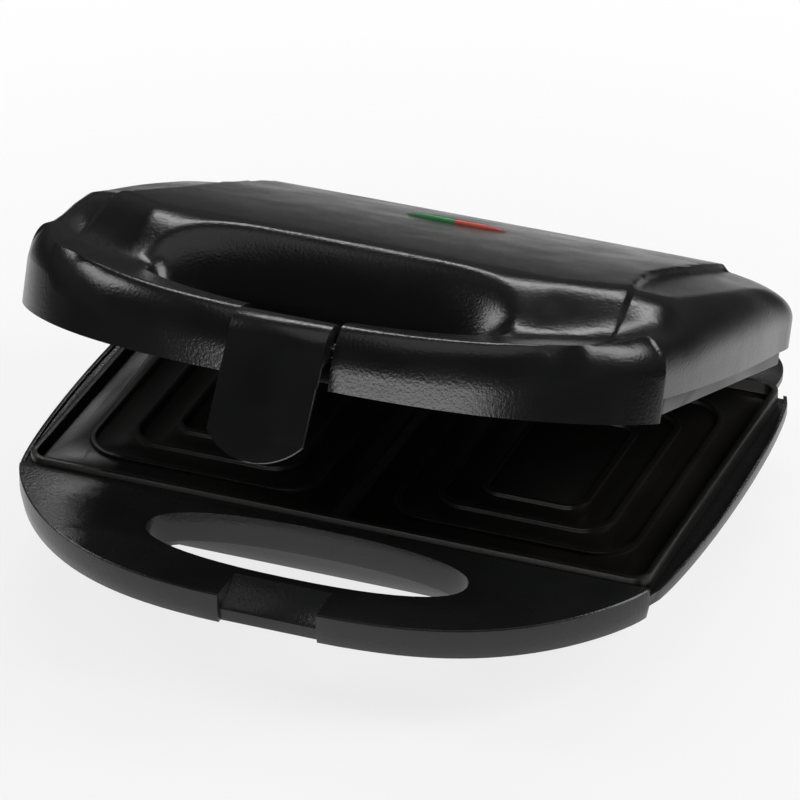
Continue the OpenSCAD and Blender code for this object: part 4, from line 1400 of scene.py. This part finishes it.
@dataclass
class Studio:
    """Camera, pale floor, backdrop light and soft boxes.

    Attributes:
        eye: Camera's place in metres.
        azimuth: Its angle about Z from the front, degrees.
        elevation: Its angle above the table, degrees.
        lens: Focal length in millimetres.
        sensor: Sensor width in millimetres.
        clip: Nearest and farthest distance in view, metres.
        floor_r: Radius of the floor in metres.
        floor_z: Its level, just under the feet.
        floor_sides: Number of sides of its rim.
        floor_grey: Its own colour.
        floor_glow: How white it is to rays that show it.
        fade_from: Radius at which it starts to fade out, metres.
        fade_to: Radius at which it is gone, as a share of its own.
        room: Height of a direction and the room's brightness there.
        aim: Point that the soft boxes face.
        lamps: The soft boxes.
    """

    eye: Triple = (0.7389, -1.8650, 1.2111)
    azimuth: float = 21.5
    elevation: float = 29.9
    lens: float = 292.5
    sensor: float = 36.0
    clip: tuple[float, float] = (0.05, 20.0)
    floor_r: float = 0.52
    floor_z: float = -0.0002
    floor_sides: int = 96
    floor_grey: float = 0.93
    floor_glow: float = 0.8
    fade_from: float = 0.22
    fade_to: float = 0.97
    room: tuple[tuple[float, float], ...] = (
        (-1.0, 0.9), (-0.42, 0.8), (-0.34, 0.22), (-0.22, 0.03), (-0.05, 0.03), (0.06, 0.12),
        (0.25, 0.07), (0.45, 0.04), (1.0, 0.05))
    aim: Triple = (0, 0, 0.08)
    lamps: tuple[SoftBox, ...] = (
        SoftBox("back_box", (-0.2, 1.1, 1.25), (1.4, 0.3), 10),
        SoftBox("left_box", (-1.2, -0.1, 0.9), (0.5, 0.5), 4),
        SoftBox("right_box", (1.2, 0.35, 1.0), (0.7, 0.8), 11),
        SoftBox("front_box", (0.1, -1.6, 0.30), (1.6, 0.35), 9),
        SoftBox("top_box", (0.1, -0.2, 1.6), (1.2, 1.2), 3))

    def camera(self) -> None:
        """Places the camera."""
        a, e = math.radians(self.azimuth), math.radians(self.elevation)
        back = Vector((math.sin(a) * math.cos(e), -math.cos(a) * math.cos(e), math.sin(e)))
        right = Vector((math.cos(a), math.sin(a), 0.0))
        columns = (right, back.cross(right), back, Vector(self.eye))
        data = bpy.data.cameras.new("view")
        data.lens = self.lens
        data.sensor_width = self.sensor
        data.clip_start, data.clip_end = self.clip
        cam = add_object("view", data)
        cam.matrix_world = Matrix([*zip(*columns), (0, 0, 0, 1)])
        bpy.context.scene.camera = cam

    @staticmethod
    def _seen(wires: Wiring, rays: Sequence[str]) -> Socket:
        """Adds a mask that is 1 for rays which show the white background.

        Args:
            wires: Wiring of a floor or world tree.
            rays: Light Path outputs that count.

        Returns:
            The mask's socket.
        """
        path = wires.add("ShaderNodeLightPath").outputs
        mask = path[rays[0]]
        for ray in rays[1:]:
            mask = wires.math("MAXIMUM", mask, path[ray])
        return mask

    def floor_material(self) -> bpy.types.Material:
        """Makes the floor's material, which fades out at the rim and keeps a light shadow.

        Returns:
            The material.
        """
        mat = bpy.data.materials.new("pale_floor")
        mat.use_nodes = True
        wires = Wiring(mat.node_tree)
        shader = mat.node_tree.nodes["Principled BSDF"]
        wires.feed(shader, {"Base Color": (*(self.floor_grey,) * 3, 1), "Roughness": 0.9,
                            "Specular IOR Level": 0.1})
        seen = self._seen(wires, ("Is Camera Ray", "Is Glossy Ray", "Is Transmission Ray"))
        lit = wires.add("ShaderNodeMixShader", {
            "Fac": wires.math("MULTIPLY", seen, self.floor_glow), 1: shader.outputs["BSDF"],
            2: wires.add("ShaderNodeEmission").outputs["Emission"]})
        coord = wires.add("ShaderNodeTexCoord").outputs["Object"]
        length = wires.add("ShaderNodeVectorMath", {0: coord}, operation="LENGTH")
        fade = wires.add("ShaderNodeMapRange", {
            "Value": length.outputs["Value"], "From Min": self.fade_from,
            "From Max": self.floor_r * self.fade_to}, interpolation_type="SMOOTHSTEP")
        mix = wires.add("ShaderNodeMixShader", {
            "Fac": fade.outputs["Result"], 1: lit.outputs["Shader"],
            2: wires.add("ShaderNodeBsdfTransparent").outputs["BSDF"]})
        wires.feed(mat.node_tree.nodes["Material Output"], {"Surface": mix.outputs["Shader"]})
        return mat

    def floor(self) -> None:
        """Makes the round pale floor."""
        turns = [2 * math.pi * i / self.floor_sides for i in range(self.floor_sides)]
        points = [(0.0, 0.0, 0.0)] + [
            (self.floor_r * math.cos(turn), self.floor_r * math.sin(turn), 0.0) for turn in turns]
        faces = [(0, 1 + i, 1 + (i + 1) % self.floor_sides) for i in range(self.floor_sides)]
        mesh = bpy.data.meshes.new("pale_floor")
        mesh.from_pydata(points, [], faces)
        mesh.materials.append(self.floor_material())
        obj = add_object("pale_floor", mesh)
        obj.location.z = self.floor_z

    def world(self) -> None:
        """White to the camera; to everything else a dim room round a pale table."""
        world = bpy.data.worlds.new("studio")
        bpy.context.scene.world = world
        world.use_nodes = True
        wires = Wiring(world.node_tree)
        coord = wires.add("ShaderNodeTexCoord").outputs["Generated"]
        split = wires.add("ShaderNodeSeparateXYZ", {0: coord})
        shift = wires.add("ShaderNodeMapRange", {"From Min": -1.0, "Value": split.outputs["Z"]})
        ramp = wires.add("ShaderNodeValToRGB", {"Fac": shift.outputs["Result"]})
        stops = ramp.color_ramp.elements
        while len(stops) < len(self.room):
            stops.new(0.5)
        for stop, (height, level) in zip(stops, self.room):
            stop.position = (height + 1) / 2
            stop.color = (level, level, level, 1)
        white = wires.add("ShaderNodeMix", {
            "A": ramp.outputs["Color"], "B": (1, 1, 1, 1),
            "Factor": self._seen(wires, ("Is Camera Ray", "Is Transmission Ray"))},
            data_type="RGBA")
        wires.feed(world.node_tree.nodes["Background"], {"Color": white.outputs["Result"]})

    def build(self) -> None:
        """Sets up the whole studio."""
        self.camera()
        self.floor()
        self.world()
        for lamp in self.lamps:
            lamp.build(self.aim)
        bpy.context.scene.view_settings.view_transform = "Standard"


def main() -> None:
    """Builds every piece in order and sets up the studio."""
    Studio().build()
    tree = ScrewTree()
    for piece in [LidShell().build(), *Indicator().build(), *BaseShell().build(),
                  *PlateSet().build(), *Latch().build(), *(each.build(tree) for each in SCREWS)]:
        log.info("built %s, %d faces", piece.name, len(piece.data.polygons))
    dress_nodes()


if __name__ == "__main__":
    logging.basicConfig(level=logging.INFO, format="%(message)s")
    main()
